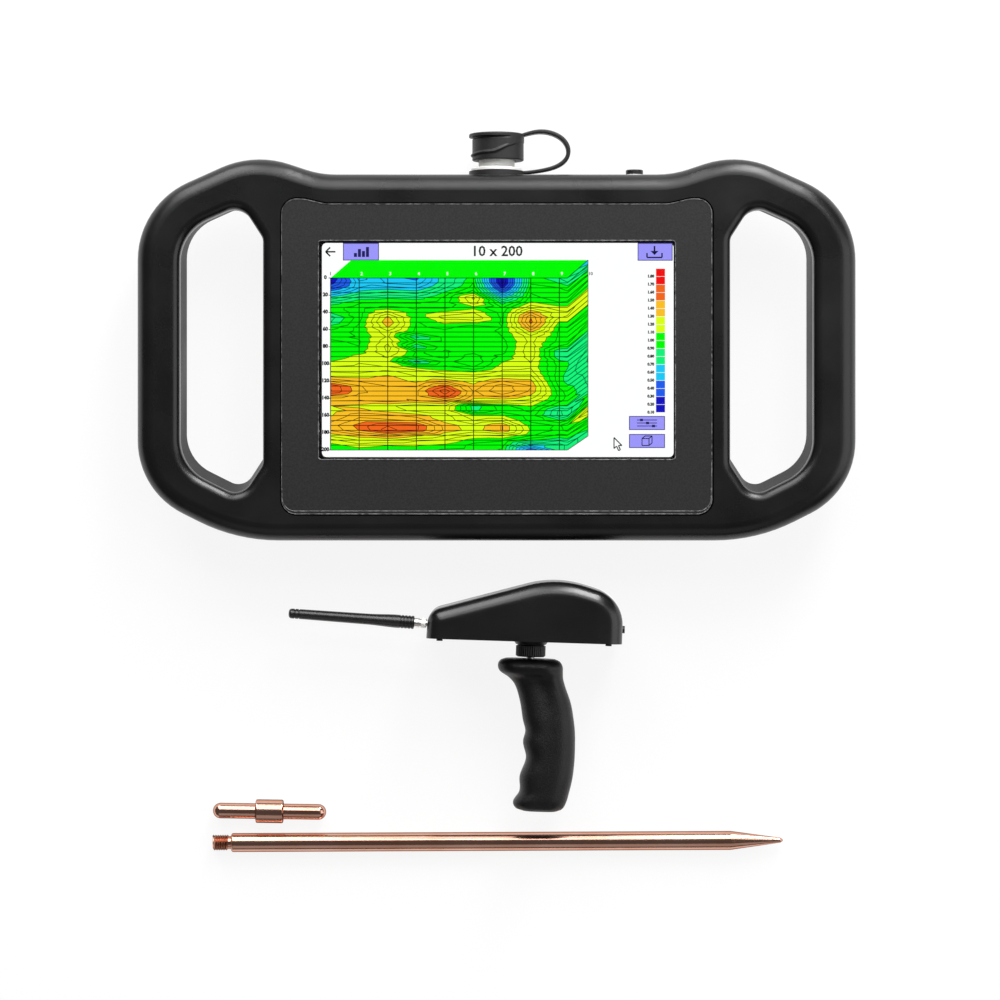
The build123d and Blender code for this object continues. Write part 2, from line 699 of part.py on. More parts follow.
# Socket and cap on the top wall

def along_socket(radius, low, high, x=0.0):
    return pin(radius, (x, low, SOCKET_Z), (0, 1, 0), high - low)


def socket_shell():
    body = along_socket(SOCKET_FLANGE_RADIUS, RING_TOP, SOCKET_FLANGE_TOP)
    body = body + along_socket(SOCKET_BARREL_RADIUS, SOCKET_FLANGE_TOP, SOCKET_END)
    body = body + along_socket(SOCKET_SPIGOT_RADIUS, SOCKET_INNER_END, RING_TOP)
    return body - along_socket(SOCKET_BORE_RADIUS, SOCKET_INNER_END - PAST, SOCKET_END + PAST)


def contact_places():
    ring = PolarLocations(CONTACT_CIRCLE, CONTACT_COUNT)
    spots = [(place.position.X, place.position.Y) for place in ring] + [(0, 0)]
    return [(x, SOCKET_Z + y) for x, y in spots]


def contact_pin(radius, place, low, high):
    return pin(radius, (place[0], low, place[1]), (0, 1, 0), high - low)


def socket_insert():
    face = SOCKET_END - SOCKET_WELL_DEPTH
    insert = along_socket(SOCKET_BORE_RADIUS - FIT, SOCKET_INNER_END, face)
    for place in contact_places():
        insert = insert - contact_pin(CONTACT_RADIUS + FIT, place, SOCKET_INNER_END - PAST, face + PAST)
    return insert


def socket_contacts():
    face = SOCKET_END - SOCKET_WELL_DEPTH
    low = SOCKET_INNER_END - SOCKET_NUT_THICKNESS
    return group([contact_pin(CONTACT_RADIUS, place, low, face) for place in contact_places()])


def socket_nut():
    seat = (0, TOP_EDGE - WALL, SOCKET_Z)
    nut = hexagon(SOCKET_NUT_RADIUS, seat, (0, -1, 0), SOCKET_NUT_THICKNESS)
    return nut - along_socket(SOCKET_SPIGOT_RADIUS + FIT, SOCKET_INNER_END - PAST, TOP_EDGE)


def cap_ring():
    ring = along_socket(RING_RADIUS, TOP_EDGE, RING_TOP)
    return ring - along_socket(SOCKET_SPIGOT_RADIUS + FIT, TOP_EDGE - PAST, RING_TOP + PAST)


def dust_cap():
    body = along_socket(CAP_RADIUS, CAP_BOTTOM, CAP_END)
    body = body + along_socket(RING_RADIUS, CAP_END - CAP_RIM_HEIGHT, CAP_END)
    crown = body.edges().filter_by(GeomType.CIRCLE).group_by(Axis.Y)[-1]
    body = body.fillet(CAP_ROUND, crown)
    bore = SOCKET_BARREL_RADIUS + CAP_CLEARANCE
    return body - along_socket(bore, CAP_BOTTOM - PAST, CAP_END - CAP_TOP)


def cap_strap():
    start_y = CAP_END - CAP_RIM_HEIGHT / 2
    end_y = RING_TOP - LOOP_THICKNESS / 2
    inside = SOCKET_SPIGOT_RADIUS
    points = [
        (inside, start_y),
        (STRAP_LOOP_REACH, start_y + STRAP_LOOP_RISE),
        (STRAP_LOOP_REACH, end_y + STRAP_LOOP_RISE),
        (inside, end_y),
    ]
    path = FilletPolyline(*points, radius=STRAP_LOOP_ROUND)
    start = Plane(origin=path @ 0, z_dir=path % 0, x_dir=(0, 0, 1))
    strap = Pos(0, 0, SOCKET_Z) * sweep(start * Rectangle(LOOP_WIDTH, LOOP_THICKNESS), path)
    strap = strap - along_socket(RING_RADIUS + LOOP_GAP, CAP_BOTTOM, CAP_END + RING_RADIUS)
    return strap - along_socket(RING_RADIUS + TOUCH, TOP_EDGE - PAST, CAP_BOTTOM)


# Power button on the top wall

def button_bush():
    bush = along_socket(BUSH_RADIUS, BUSH_END, TOP_EDGE, BUTTON_X)
    bush = bush + along_socket(BUSH_FLANGE_RADIUS, TOP_EDGE, TOP_EDGE + BUSH_FLANGE_THICKNESS, BUTTON_X)
    bore = BUTTON_RADIUS + BUTTON_CLEARANCE
    return bush - along_socket(bore, BUSH_END - PAST, TOP_EDGE + BUTTON_PROUD, BUTTON_X)


def power_button():
    plunger = along_socket(BUTTON_RADIUS, BUTTON_END, TOP_EDGE + BUTTON_PROUD, BUTTON_X)
    crown = plunger.edges().group_by(Axis.Y)[-1]
    return plunger.fillet(BUTTON_CROWN_ROUND, crown)


def button_nut():
    seat = (BUTTON_X, TOP_EDGE - WALL, SOCKET_Z)
    nut = hexagon(BUTTON_NUT_RADIUS, seat, (0, -1, 0), BUTTON_NUT_THICKNESS)
    return nut - along_socket(BUSH_RADIUS + FIT, BUSH_END - PAST, TOP_EDGE, BUTTON_X)


def power_switch():
    top = BUTTON_END - BUTTON_TRAVEL - BUTTON_CLEARANCE
    body = along_socket(BUSH_RADIUS, BUSH_END - SWITCH_LENGTH, BUSH_END, BUTTON_X)
    return body + along_socket(BUTTON_RADIUS / 2, BUSH_END, top, BUTTON_X)


# Probe head, in the probe's own frame

def head_front(inset, level):
    return -HEAD_FRONT + inset / cos(radians(FRONT_LEAN)) + level * slope(FRONT_LEAN)


def head_face(inset, floor):
    rise, fall, lean = slope(HEAD_RISE), slope(HEAD_FALL), slope(FRONT_LEAN)
    rear = HEAD_REAR - inset
    top_at_zero = HEAD_FRONT_HEIGHT + HEAD_FRONT * rise - inset / cos(radians(HEAD_RISE))
    fall_at_zero = HEAD_REAR_HEIGHT + HEAD_REAR * fall - inset / cos(radians(HEAD_FALL))
    crown_x = (fall_at_zero - top_at_zero) / (rise + fall)
    nose_y = (top_at_zero + head_front(inset, 0) * rise) / (1 - lean * rise)
    points = [
        (head_front(inset, floor), floor),
        (head_front(inset, nose_y), nose_y),
        (crown_x, top_at_zero + crown_x * rise),
        (rear, fall_at_zero - rear * fall),
        (rear, floor),
    ]
    return rounded_face(points, [0, NOSE_ROUND - inset, CROWN_ROUND - inset, TAIL_ROUND - inset, 0])


def head_form(inset, floor):
    half = HEAD_WIDTH / 2 - inset
    form = extrude(head_face(inset, floor), half, both=True)
    edges = [edge for edge in form.edges() if abs(edge.center().Z) > half - TOUCH]
    edges = [edge for edge in edges if edge.center().Y > floor + TOUCH]
    return form.fillet(HEAD_EDGE_ROUND - inset, edges)


def base_screw_places():
    half = HEAD_WIDTH / 2 - BASE_SCREW_INSET_Z
    columns = (BASE_SCREW_INSET_X - HEAD_FRONT, HEAD_REAR - BASE_SCREW_INSET_X)
    return [(x, z) for x in columns for z in (-half, half)]


def foot_places():
    half = HEAD_WIDTH / 2 - FOOT_INSET_Z
    columns = (FOOT_INSET_X - HEAD_FRONT, HEAD_REAR - FOOT_INSET_X)
    return [(x, z) for x in columns for z in (-half, half)]


def probe_board_places():
    half_x = PROBE_BOARD_SIZE[0] / 2 - PROBE_BOARD_SCREW_INSET
    half_z = PROBE_BOARD_SIZE[1] / 2 - PROBE_BOARD_SCREW_INSET
    return [(PROBE_BOARD_X + x, z) for x, z in corner_places(half_x, half_z)]


def upright(radius, place, low, high):
    return pin(radius, (place[0], low, place[1]), (0, 1, 0), high - low)


def upright_box(length, width, x, low, high):
    return Pos(x, (low + high) / 2, 0) * Box(length, high - low, width, align=MIDDLE)


def antenna_plane():
    direction = (-cos(radians(FRONT_LEAN)), sin(radians(FRONT_LEAN)), 0)
    return Plane(origin=(head_front(0, ANTENNA_Y), ANTENNA_Y, 0), z_dir=direction)


def along_antenna(radius, low, high):
    return antenna_plane() * Pos(0, 0, low) * Cylinder(radius, high - low, align=ON_BASE)


def along_button(radius, low, high):
    return pin(radius, (HEAD_REAR + low, PROBE_BUTTON_Y, 0), (1, 0, 0), high - low)


def probe_cover():
    outer = head_form(0, 0)
    cover = outer - head_form(HEAD_WALL, -PAST)
    above = HEAD_FRONT_HEIGHT + (HEAD_FRONT + HEAD_REAR) * slope(HEAD_RISE)
    screw_end = SMALL_SCREW[2] + SMALL_SCREW_LENGTH + FIT
    for place in base_screw_places():
        post = upright(BASE_POST_RADIUS, place, BASE_THICKNESS, above)
        cover = cover + (post & outer)
    for place in base_screw_places():
        cover = cover - upright(SMALL_SCREW[0] + FIT, place, 0, screw_end)
    cover = cover + (along_antenna(JACK_PAD[0], JACK_SEAT, 0) & outer)
    cover = cover - along_antenna(JACK_RADIUS + FIT, JACK_SEAT - PAST, PAST)
    button_hole = PROBE_BUTTON_RADIUS + PROBE_BUTTON_CLEARANCE
    return cover - along_button(button_hole, -HEAD_WALL - PAST, PAST)


def probe_base():
    front = head_front(HEAD_WALL, BASE_THICKNESS) + BASE_GAP
    rear = HEAD_REAR - HEAD_WALL - BASE_GAP
    width = HEAD_WIDTH - 2 * HEAD_WALL - 2 * BASE_GAP
    corner = HEAD_EDGE_ROUND - HEAD_WALL - BASE_GAP
    plan = Plane.XZ * Pos((front + rear) / 2, 0) * RectangleRounded(rear - front, width, corner)
    base = extrude(plan, BASE_THICKNESS, dir=(0, 1, 0))
    screw_end = BOARD_TOP_LEVEL - SMALL_SCREW_LENGTH - FIT
    for place in probe_board_places():
        base = base + upright(STANDOFF_RADIUS, place, BASE_THICKNESS / 2, BOARD_LEVEL)
        base = base - upright(SMALL_SCREW[0] + FIT, place, screw_end, BOARD_LEVEL + PAST)
    for place in base_screw_places():
        base = base - upright(SMALL_SCREW[0] + FIT, place, -PAST, BASE_THICKNESS + PAST)
        base = base - upright(SMALL_SCREW[1] + HEAD_ROOM, place, -PAST, SMALL_SCREW[2])
    return base - upright(BOSS_SPIGOT_RADIUS + FIT, (0, 0), -PAST, BASE_THICKNESS + PAST)


def base_screws():
    screws = []
    for x, z in base_screw_places():
        screws.append(screw(SMALL_SCREW, (x, SMALL_SCREW[2], z), (0, 1, 0), SMALL_SCREW_LENGTH))
    return group(screws)


def probe_feet():
    return group([upright(FOOT_RADIUS, place, -FOOT_HEIGHT, 0) for place in foot_places()])


def probe_board():
    board = upright_box(*PROBE_BOARD_SIZE[:2], PROBE_BOARD_X, BOARD_LEVEL, BOARD_TOP_LEVEL)
    for place in probe_board_places():
        board = board - upright(SMALL_SCREW[0] + FIT, place, BOARD_LEVEL - PAST, BOARD_TOP_LEVEL + PAST)
    return board


def probe_board_screws():
    screws = []
    for x, z in probe_board_places():
        screws.append(screw(SMALL_SCREW, (x, BOARD_TOP_LEVEL, z), (0, -1, 0), SMALL_SCREW_LENGTH))
    return group(screws)


def probe_battery():
    length, width, height = CELL_SIZE
    return upright_box(length, width, CELL_X, BOARD_TOP_LEVEL, BOARD_TOP_LEVEL + height)


def coil_axis():
    return (COIL_X, BOARD_TOP_LEVEL + COIL_SIDE / 2)


def across(radius, half):
    x, y = coil_axis()
    return pin(radius, (x, y, -half), (0, 0, 1), 2 * half)


def coil_bobbin():
    x, y = coil_axis()
    bobbin = across(COIL_RADIUS, COIL_LENGTH / 2)
    for side in (1, -1):
        middle = side * (COIL_LENGTH - COIL_FLANGE) / 2
        bobbin = bobbin + Pos(x, y, middle) * Box(COIL_SIDE, COIL_SIDE, COIL_FLANGE, align=MIDDLE)
    return bobbin - across(COIL_CORE_RADIUS + FIT, COIL_LENGTH)


def coil_core():
    return across(COIL_CORE_RADIUS, COIL_LENGTH / 2 + COIL_CORE_PROUD)


def probe_button():
    radius, thickness = PROBE_BUTTON_FLANGE
    inner = -HEAD_WALL - PROBE_BUTTON_CLEARANCE
    button = along_button(PROBE_BUTTON_RADIUS, inner, PROBE_BUTTON_PROUD)
    return button + along_button(radius, inner - thickness, inner)


def probe_switch():
    length, height, width = PROBE_SWITCH_SIZE
    button_back = -HEAD_WALL - PROBE_BUTTON_CLEARANCE - PROBE_BUTTON_FLANGE[1]
    front = button_back - PROBE_BUTTON_TRAVEL - PROBE_BUTTON_CLEARANCE
    board_end = PROBE_BOARD_X + PROBE_BOARD_SIZE[0] / 2
    body = upright_box(length, width, board_end - length / 2, BOARD_LEVEL - height, BOARD_LEVEL)
    return body + along_button(PROBE_BUTTON_RADIUS / 2, board_end - HEAD_REAR - length / 2, front)


# Antenna

def antenna_jack():
    radius, thickness = JACK_FLANGE
    jack = along_antenna(JACK_RADIUS, JACK_SEAT - JACK_DEPTH, JACK_PROUD)
    return jack + along_antenna(radius, JACK_SEAT - thickness, JACK_SEAT)


def jack_nut():
    radius, thickness = JACK_NUT
    back = JACK_SEAT - JACK_FLANGE[1]
    nut = antenna_plane() * Pos(0, 0, back - thickness) * extrude(RegularPolygon(radius, 6), thickness)
    return nut - along_antenna(JACK_RADIUS + FIT, back - JACK_DEPTH, back)


def antenna_connector():
    coupling = along_antenna(COUPLING_RADIUS, COUPLING_START, COUPLING_END)
    return coupling - along_antenna(JACK_RADIUS + COUPLING_CLEARANCE, 0, JACK_PROUD + COUPLING_CLEARANCE)


def antenna_sheath():
    flare_end = COUPLING_END + WHIP_COLLAR + WHIP_FLARE
    end = COUPLING_END + WHIP_LENGTH
    outline = [
        (0, COUPLING_END),
        (WHIP_BASE_RADIUS, COUPLING_END),
        (WHIP_BASE_RADIUS, COUPLING_END + WHIP_COLLAR),
        (WHIP_MID_RADIUS, flare_end),
        (WHIP_TIP_RADIUS, end - WHIP_TIP_RADIUS),
    ]
    dome = RadiusArc(outline[-1], (0, end), -WHIP_TIP_RADIUS)
    edge = Polyline(*outline) + dome + Line((0, end), (0, COUPLING_END))
    whip = revolve(Plane.XZ * make_face(edge), Axis.Z)
    whip = whip - Cylinder(WHIP_WIRE_RADIUS + FIT, end - WHIP_WIRE_INSET, align=ON_BASE)
    return antenna_plane() * whip


def antenna_wire():
    end = COUPLING_END + WHIP_LENGTH - WHIP_WIRE_INSET - FIT
    return along_antenna(WHIP_WIRE_RADIUS, COUPLING_END, end)


# Mount under the head, and the grip

def mount_boss():
    cone = Cone(COLLAR_RADIUS, CONE_RADIUS, CONE_HEIGHT, align=ON_BASE)
    boss = Plane(origin=(0, -CONE_HEIGHT, 0), z_dir=(0, 1, 0)) * cone
    boss = boss + upright(BOSS_SPIGOT_RADIUS, (0, 0), -CONE_HEIGHT, BASE_THICKNESS + BOSS_SPIGOT_RISE)
    return boss - upright(INSERT_RADIUS + FIT, (0, 0), -CONE_HEIGHT - PAST, BOARD_LEVEL)


def mount_nut():
    radius, thickness = MOUNT_NUT
    nut = hexagon(radius, (0, BASE_THICKNESS, 0), (0, 1, 0), thickness)
    return nut - upright(BOSS_SPIGOT_RADIUS + FIT, (0, 0), 0, BOARD_LEVEL)


def mount_insert():
    top = BASE_THICKNESS + BOSS_SPIGOT_RISE
    insert = upright(INSERT_RADIUS, (0, 0), -CONE_HEIGHT, top)
    return insert - upright(STUD_RADIUS + STUD_CLEARANCE, (0, 0), -CONE_HEIGHT - PAST, top + PAST)


def lock_collar():
    collar = upright(COLLAR_RADIUS, (0, 0), COLLAR_BOTTOM, COLLAR_TOP)
    bore = STUD_RADIUS + COLLAR_CLEARANCE
    return collar - upright(bore, (0, 0), COLLAR_BOTTOM - PAST, COLLAR_TOP + PAST)


def grip_stud():
    return upright(STUD_RADIUS, (0, 0), GRIP_TOP - STUD_DEPTH, BASE_THICKNESS + BOSS_SPIGOT_RISE)


def grip_section(share, front, back, inset):
    level = GRIP_TOP - share * GRIP_HEIGHT
    plane = Plane(origin=((front + back) / 2, level, 0), x_dir=(1, 0, 0), z_dir=(0, -1, 0))
    return plane * RectangleRounded(back - front, GRIP_THICKNESS - 2 * inset, GRIP_ROUND - inset)


def core_form():
    half = CORE_WIDTH / 2
    neck = GRIP_TOP - CORE_NECK
    foot = GRIP_BOTTOM + CORE_END
    points = [
        (-half, GRIP_TOP),
        (half, GRIP_TOP),
        (half, neck),
        (half + CORE_SHIFT, foot),
        (CORE_SHIFT - half, foot),
        (-half, neck),
    ]
    return extrude(make_face(Polyline(*points, close=True)), CORE_THICKNESS / 2, both=True)


def grip_sleeve():
    return loft([grip_section(*section) for section in GRIP_SECTIONS]) - core_form()


def grip_core():
    return core_form() - upright(STUD_RADIUS + FIT, (0, 0), GRIP_TOP - STUD_DEPTH, GRIP_TOP + PAST)


# Copper electrode and crossbar

def turned(points):
    return revolve(make_face(Polyline(*points, close=True)), Axis.X)


def electrode_rod():
    neck = ROD_THREAD_LENGTH + ROD_NECK_LENGTH
    chamfer = ROD_THREAD_RADIUS - ROD_NECK_RADIUS
    points = [
        (0, 0),
        (0, ROD_NECK_RADIUS),
        (chamfer, ROD_THREAD_RADIUS),
        (ROD_THREAD_LENGTH, ROD_THREAD_RADIUS),
        (ROD_THREAD_LENGTH, ROD_NECK_RADIUS),
        (neck, ROD_NECK_RADIUS),
        (neck, ROD_RADIUS - ROD_SHOULDER),
        (neck + ROD_SHOULDER, ROD_RADIUS),
        (ROD_LENGTH - ROD_POINT, ROD_RADIUS),
        (ROD_LENGTH - ROD_TIP_RADIUS, ROD_TIP_RADIUS),
        (ROD_LENGTH, ROD_TIP_RADIUS / 2),
        (ROD_LENGTH, 0),
    ]
    return Pos(ROD_END_X, ROD_Y, ROD_RADIUS) * Rot(0, 0, ROD_TURN) * turned(points)


def electrode_crossbar():
    straight = CROSSBAR_LENGTH - 2 * CROSSBAR_RADIUS
    bar = Rot(0, 90, 0) * Cylinder(CROSSBAR_RADIUS, straight)
    for side in (1, -1):
        bar = bar + Pos(side * straight / 2, 0, 0) * Sphere(CROSSBAR_RADIUS)
    middle = Rot(0, 90, 0) * Cylinder(CROSSBAR_COLLAR_RADIUS, CROSSBAR_COLLAR_LENGTH)
    middle = middle.chamfer(CROSSBAR_CHAMFER, None, middle.edges().filter_by(GeomType.CIRCLE))
    bar = bar + middle
    hole_start = (0, 0, -CROSSBAR_COLLAR_RADIUS - PAST)
    bar = bar - pin(CROSSBAR_HOLE_RADIUS, hole_start, (0, 0, 1), CROSSBAR_HOLE_DEPTH + PAST)
    return Pos(CROSSBAR_X, CROSSBAR_Y, CROSSBAR_COLLAR_RADIUS) * Rot(0, 0, -CROSSBAR_TURN) * bar


CONSOLE_PIECES = [
    console_front_shell, console_rear_shell, shell_gasket, shell_screws, bezel_panel, touch_glass, lcd_panel,
    lcd_bracket, bracket_screws, main_board, board_screws, processor_shield, radio_module, display_ribbon,
    battery_pack, battery_bracket, battery_screws, socket_shell, socket_insert, socket_contacts, socket_nut,
    cap_ring, dust_cap, cap_strap, button_bush, power_button, button_nut, power_switch,
]
PROBE_PIECES = [
    probe_cover, probe_base, base_screws, probe_feet, probe_board, probe_board_screws, probe_battery,
    coil_bobbin, coil_core, probe_button, probe_switch, antenna_jack, jack_nut, antenna_connector,
    antenna_sheath, antenna_wire, mount_boss, mount_nut, mount_insert, lock_collar, grip_stud, grip_sleeve,
    grip_core,
]
ELECTRODE_PIECES = [electrode_rod, electrode_crossbar]


def write(make, place):
    export_step(place * make(), f"parts/{make.__name__}.step")


os.makedirs("parts", exist_ok=True)
for piece in CONSOLE_PIECES + ELECTRODE_PIECES:
    write(piece, Pos(0, 0, 0))
for piece in PROBE_PIECES:
    write(piece, PROBE_PLACE)
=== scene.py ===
from math import cos, exp, pi, radians, sin, sqrt, tau

import bmesh
import bpy
from mathutils import Matrix, Vector


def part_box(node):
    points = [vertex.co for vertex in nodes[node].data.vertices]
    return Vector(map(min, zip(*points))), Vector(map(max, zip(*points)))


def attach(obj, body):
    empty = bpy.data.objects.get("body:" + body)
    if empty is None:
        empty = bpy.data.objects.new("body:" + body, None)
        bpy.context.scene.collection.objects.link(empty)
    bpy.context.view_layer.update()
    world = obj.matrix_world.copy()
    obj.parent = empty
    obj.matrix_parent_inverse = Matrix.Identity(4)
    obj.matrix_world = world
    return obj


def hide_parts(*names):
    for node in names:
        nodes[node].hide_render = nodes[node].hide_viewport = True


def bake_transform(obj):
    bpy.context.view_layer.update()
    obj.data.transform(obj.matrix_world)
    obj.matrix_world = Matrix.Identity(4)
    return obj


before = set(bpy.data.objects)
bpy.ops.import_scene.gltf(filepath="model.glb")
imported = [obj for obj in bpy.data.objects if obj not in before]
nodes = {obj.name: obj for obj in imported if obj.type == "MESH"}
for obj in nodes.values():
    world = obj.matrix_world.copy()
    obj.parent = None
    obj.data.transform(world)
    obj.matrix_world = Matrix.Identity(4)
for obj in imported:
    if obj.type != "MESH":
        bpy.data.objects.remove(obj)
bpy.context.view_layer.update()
scene = bpy.context.scene
scene.view_settings.view_transform = "Standard"
MM = 0.001


# Camera, straight over the layout as it lies on the table

FRONT_Z = 56 * MM
VIEW_MIDDLE = (2.1 * MM, -91.3 * MM)
VIEW_WIDTH = 611 * MM
VIEW_DISTANCE = 2.0


def overhead_camera():
    """A long lens straight over the console's front, with the photograph's frame."""
    data = bpy.data.cameras.new("overhead_camera")
    data.sensor_width = 36
    data.lens = data.sensor_width * VIEW_DISTANCE / VIEW_WIDTH
    camera = bpy.data.objects.new("overhead_camera", data)
    camera.location = (*VIEW_MIDDLE, FRONT_Z + VIEW_DISTANCE)
    scene.collection.objects.link(camera)
    scene.camera = camera


overhead_camera()


# Node trees

def linear(code):
    """An sRGB hex colour as linear red, green, blue and a full alpha."""
    shares = [int(code[at:at + 2], 16) / 255 for at in (1, 3, 5)]
    return (*[s / 12.92 if s <= 0.04045 else ((s + 0.055) / 1.055) ** 2.4 for s in shares], 1.0)


def add(tree, kind, inputs=None, **settings):
    """A node with its settings; an input is a value, or the socket that feeds it."""
    node = tree.nodes.new(kind)
    for name, value in settings.items():
        setattr(node, name, value)
    for name, value in (inputs or {}).items():
        if isinstance(value, bpy.types.NodeSocket):
            tree.links.new(value, node.inputs[name])
        else:
            node.inputs[name].default_value = value
    return node


def fresh_tree(owner):
    """The emptied node tree of a new material or world."""
    owner.use_nodes = True
    owner.node_tree.nodes.clear()
    return owner.node_tree


def start_material(name, **constants):
    """A material with one principled shader, and the shader's constants on its own sockets."""
    made = bpy.data.materials.new(name)
    tree = fresh_tree(made)
    sockets = {key.replace("_", " "): value for key, value in constants.items()}
    shader = add(tree, "ShaderNodeBsdfPrincipled", sockets)
    add(tree, "ShaderNodeOutputMaterial", {"Surface": shader.outputs[0]})
    return made, tree, shader


def pattern(tree, sizes, detail):
    """Noise on object coordinates, with features of these lengths in mm along x, y and z."""
    place = add(tree, "ShaderNodeTexCoord").outputs["Object"]
    scale = [1 / (size * MM) for size in sizes]
    spread = add(tree, "ShaderNodeMapping", {"Vector": place, "Scale": scale})
    noise = {"Vector": spread.outputs[0], "Scale": 1.0, "Detail": detail}
    return add(tree, "ShaderNodeTexNoise", noise).outputs[0]


def dress(tree, shader, tone, inks, gloss, roughness, relief, depth, span=0.2, strength=1.0):
    """Colour between two inks, gloss between two roughnesses and relief, each after its own pattern."""
    colour = add(tree, "ShaderNodeValToRGB", {"Fac": tone})
    for point, position, ink in zip(colour.color_ramp.elements, (0.5 - span, 0.5 + span), inks):
        point.position = position
        point.color = linear(ink)
    limits = {"From Min": 0.3, "From Max": 0.7, "To Min": roughness[0], "To Max": roughness[1]}
    shine = add(tree, "ShaderNodeMapRange", {"Value": gloss, **limits})
    bump = add(tree, "ShaderNodeBump", {"Height": relief, "Strength": strength, "Distance": depth * MM})
    tree.links.new(colour.outputs["Color"], shader.inputs["Base Color"])
    tree.links.new(shine.outputs["Result"], shader.inputs["Roughness"])
    tree.links.new(bump.outputs[0], shader.inputs["Normal"])


# Materials

def moulded_plastic(name, dark, light, roughness, grain, depth, patch=45, shine=0.5):
    """Injection moulded plastic: spark-eroded grain that breaks up the gloss, and faint patches of tone."""
    made, tree, shader = start_material(name, IOR=1.53, Specular_IOR_Level=shine)
    patches = pattern(tree, [patch] * 3, 4.0)
    grains = pattern(tree, [grain] * 3, 2.0)
    gloss = (roughness - 0.05, roughness + 0.05)
    dress(tree, shader, patches, (dark, light), patches, gloss, grains, depth)
    return made


def grained_film(name, dark, light, roughness, grain):
    """Textured polycarbonate: a speckle of raised grains that catch the light, drawn coarser to show."""
    made, tree, shader = start_material(name, IOR=1.5)
    speckle = pattern(tree, [grain] * 3, 1.0)
    gloss = (roughness + 0.08, roughness - 0.06)
    dress(tree, shader, speckle, (dark, light), speckle, gloss, speckle, 0.03, span=0.18, strength=0.6)
    return made


def soft_rubber(name, dark, light, roughness, grain, depth, bend=1.52):
    """Moulded rubber: no clear gloss, a dusty bloom in patches and a fine matt tooth."""
    made, tree, shader = start_material(name, IOR=bend)
    bloom = pattern(tree, [14] * 3, 5.0)
    tooth = pattern(tree, [grain] * 3, 4.0)
    gloss = (roughness - 0.08, roughness + 0.08)
    dress(tree, shader, bloom, (dark, light), tooth, gloss, tooth, depth, span=0.18)
    return made


def bare_metal(name, dark, light, edge, roughness, mark_sizes, metal=1.0):
    """Metal with the marks that its making leaves: lines of tone and gloss along one direction."""
    made, tree, shader = start_material(name, Metallic=metal, Specular_Tint=linear(edge))
    tarnish = pattern(tree, [22] * 3, 4.0)
    marks = pattern(tree, mark_sizes, 3.0)
    gloss = (roughness * 0.7, roughness * 1.3)
    dress(tree, shader, tarnish, (dark, light), marks, gloss, marks, 0.01, strength=0.5)
    return made


def clear_glass():
    """Float glass with an anti-reflection coat: clear, faintly green, with a weak reflection and smears."""
    made, tree, shader = start_material(
        "float_glass_polished", IOR=1.15, Transmission_Weight=1.0, Base_Color=linear("#fbfdfc")
    )
    limits = {"From Min": 0.45, "From Max": 0.8, "To Min": 0.0, "To Max": 0.03}
    smear = add(tree, "ShaderNodeMapRange", {"Value": pattern(tree, [60] * 3, 3.0), **limits})
    tree.links.new(smear.outputs["Result"], shader.inputs["Roughness"])
    return made


def lit_display():
    """Liquid crystal picture: flat inks that shine by their own light, with no gloss under the glass."""
    made, tree, shader = start_material(
        "liquid_crystal_picture", Base_Color=linear("#030303"), Specular_IOR_Level=0.0, Emission_Strength=1.08
    )
    ink = add(tree, "ShaderNodeAttribute", attribute_name="ink")
    tree.links.new(ink.outputs["Color"], shader.inputs["Emission Color"])
    return made


# Plastics and rubbers are given as dark and light ink, roughness, grain in mm and its depth.
# Case: deep black with a satin shine in front, duller behind, and glossier on the probe's head
case_plastic = moulded_plastic("abs_moulded_black", "#0d0d0e", "#151516", 0.29, 0.35, 0.035, shine=0.45)
rear_plastic = moulded_plastic("abs_moulded_black_rear", "#0b0b0c", "#121213", 0.42, 0.4, 0.05, shine=0.1)
probe_plastic = moulded_plastic("abs_gloss_black", "#111112", "#181819", 0.25, 0.4, 0.03)
# Small mouldings: black nylon and grey-black insulators with a dull shine
button_plastic = moulded_plastic("nylon_button_black", "#111112", "#19191a", 0.4, 0.8, 0.02)
collar_plastic = moulded_plastic("nylon_moulded_black", "#070707", "#0c0c0c", 0.36, 0.5, 0.05)
insulator = moulded_plastic("pbt_moulded_insulator", "#20201f", "#2b2a29", 0.5, 0.7, 0.02)
# Coats and films: dead black ink under the glass, green board lacquer, amber ribbon, blue cell wrap
display_mask = moulded_plastic("display_mask_printed_black", "#030303", "#060606", 0.35, 2.0, 0.005)
solder_mask = moulded_plastic("epoxy_board_solder_mask", "#0f4a2a", "#165a35", 0.35, 1.2, 0.02, patch=8)
ribbon_film = moulded_plastic("polyimide_ribbon", "#9a5a1c", "#ac6a26", 0.3, 1.0, 0.01, patch=6)
cell_wrap = moulded_plastic("pvc_shrink_wrap_blue", "#1c3f78", "#265090", 0.3, 3.0, 0.05)
# Pressed and fired: a dull, stony dark grey
ferrite = moulded_plastic("ferrite_sintered", "#2a2a2c", "#363638", 0.6, 0.5, 0.03)
# Bezel: dark grey with a sparkle of grains; pale beads along its edges, lit by the lamps, whose light grey is
# partly a painted highlight
bezel_film = grained_film("polycarbonate_textured_grey", "#0c0c0c", "#232323", 0.46, 1.1)
pale_edge_painted_highlight = grained_film("polycarbonate_edge_painted_highlight", "#1e1e1e", "#7a7a7a", 0.4, 2.4)
# Rubbers: dusty grey-black cap and seals, a grip with a deep matt tooth, and a smooth shiny whip
cap_rubber = soft_rubber("epdm_moulded_black", "#151515", "#1e1e1e", 0.5, 0.8, 0.05)
seal_rubber = soft_rubber("silicone_seal_black", "#101010", "#191919", 0.6, 0.9, 0.04)
grip_rubber = soft_rubber("tpe_grip_spark_grain", "#0c0c0c", "#131313", 0.42, 0.9, 0.16, bend=1.42)
whip_rubber = soft_rubber("tpe_antenna_sheath", "#161617", "#1e1e1f", 0.3, 0.9, 0.006, bend=1.7)
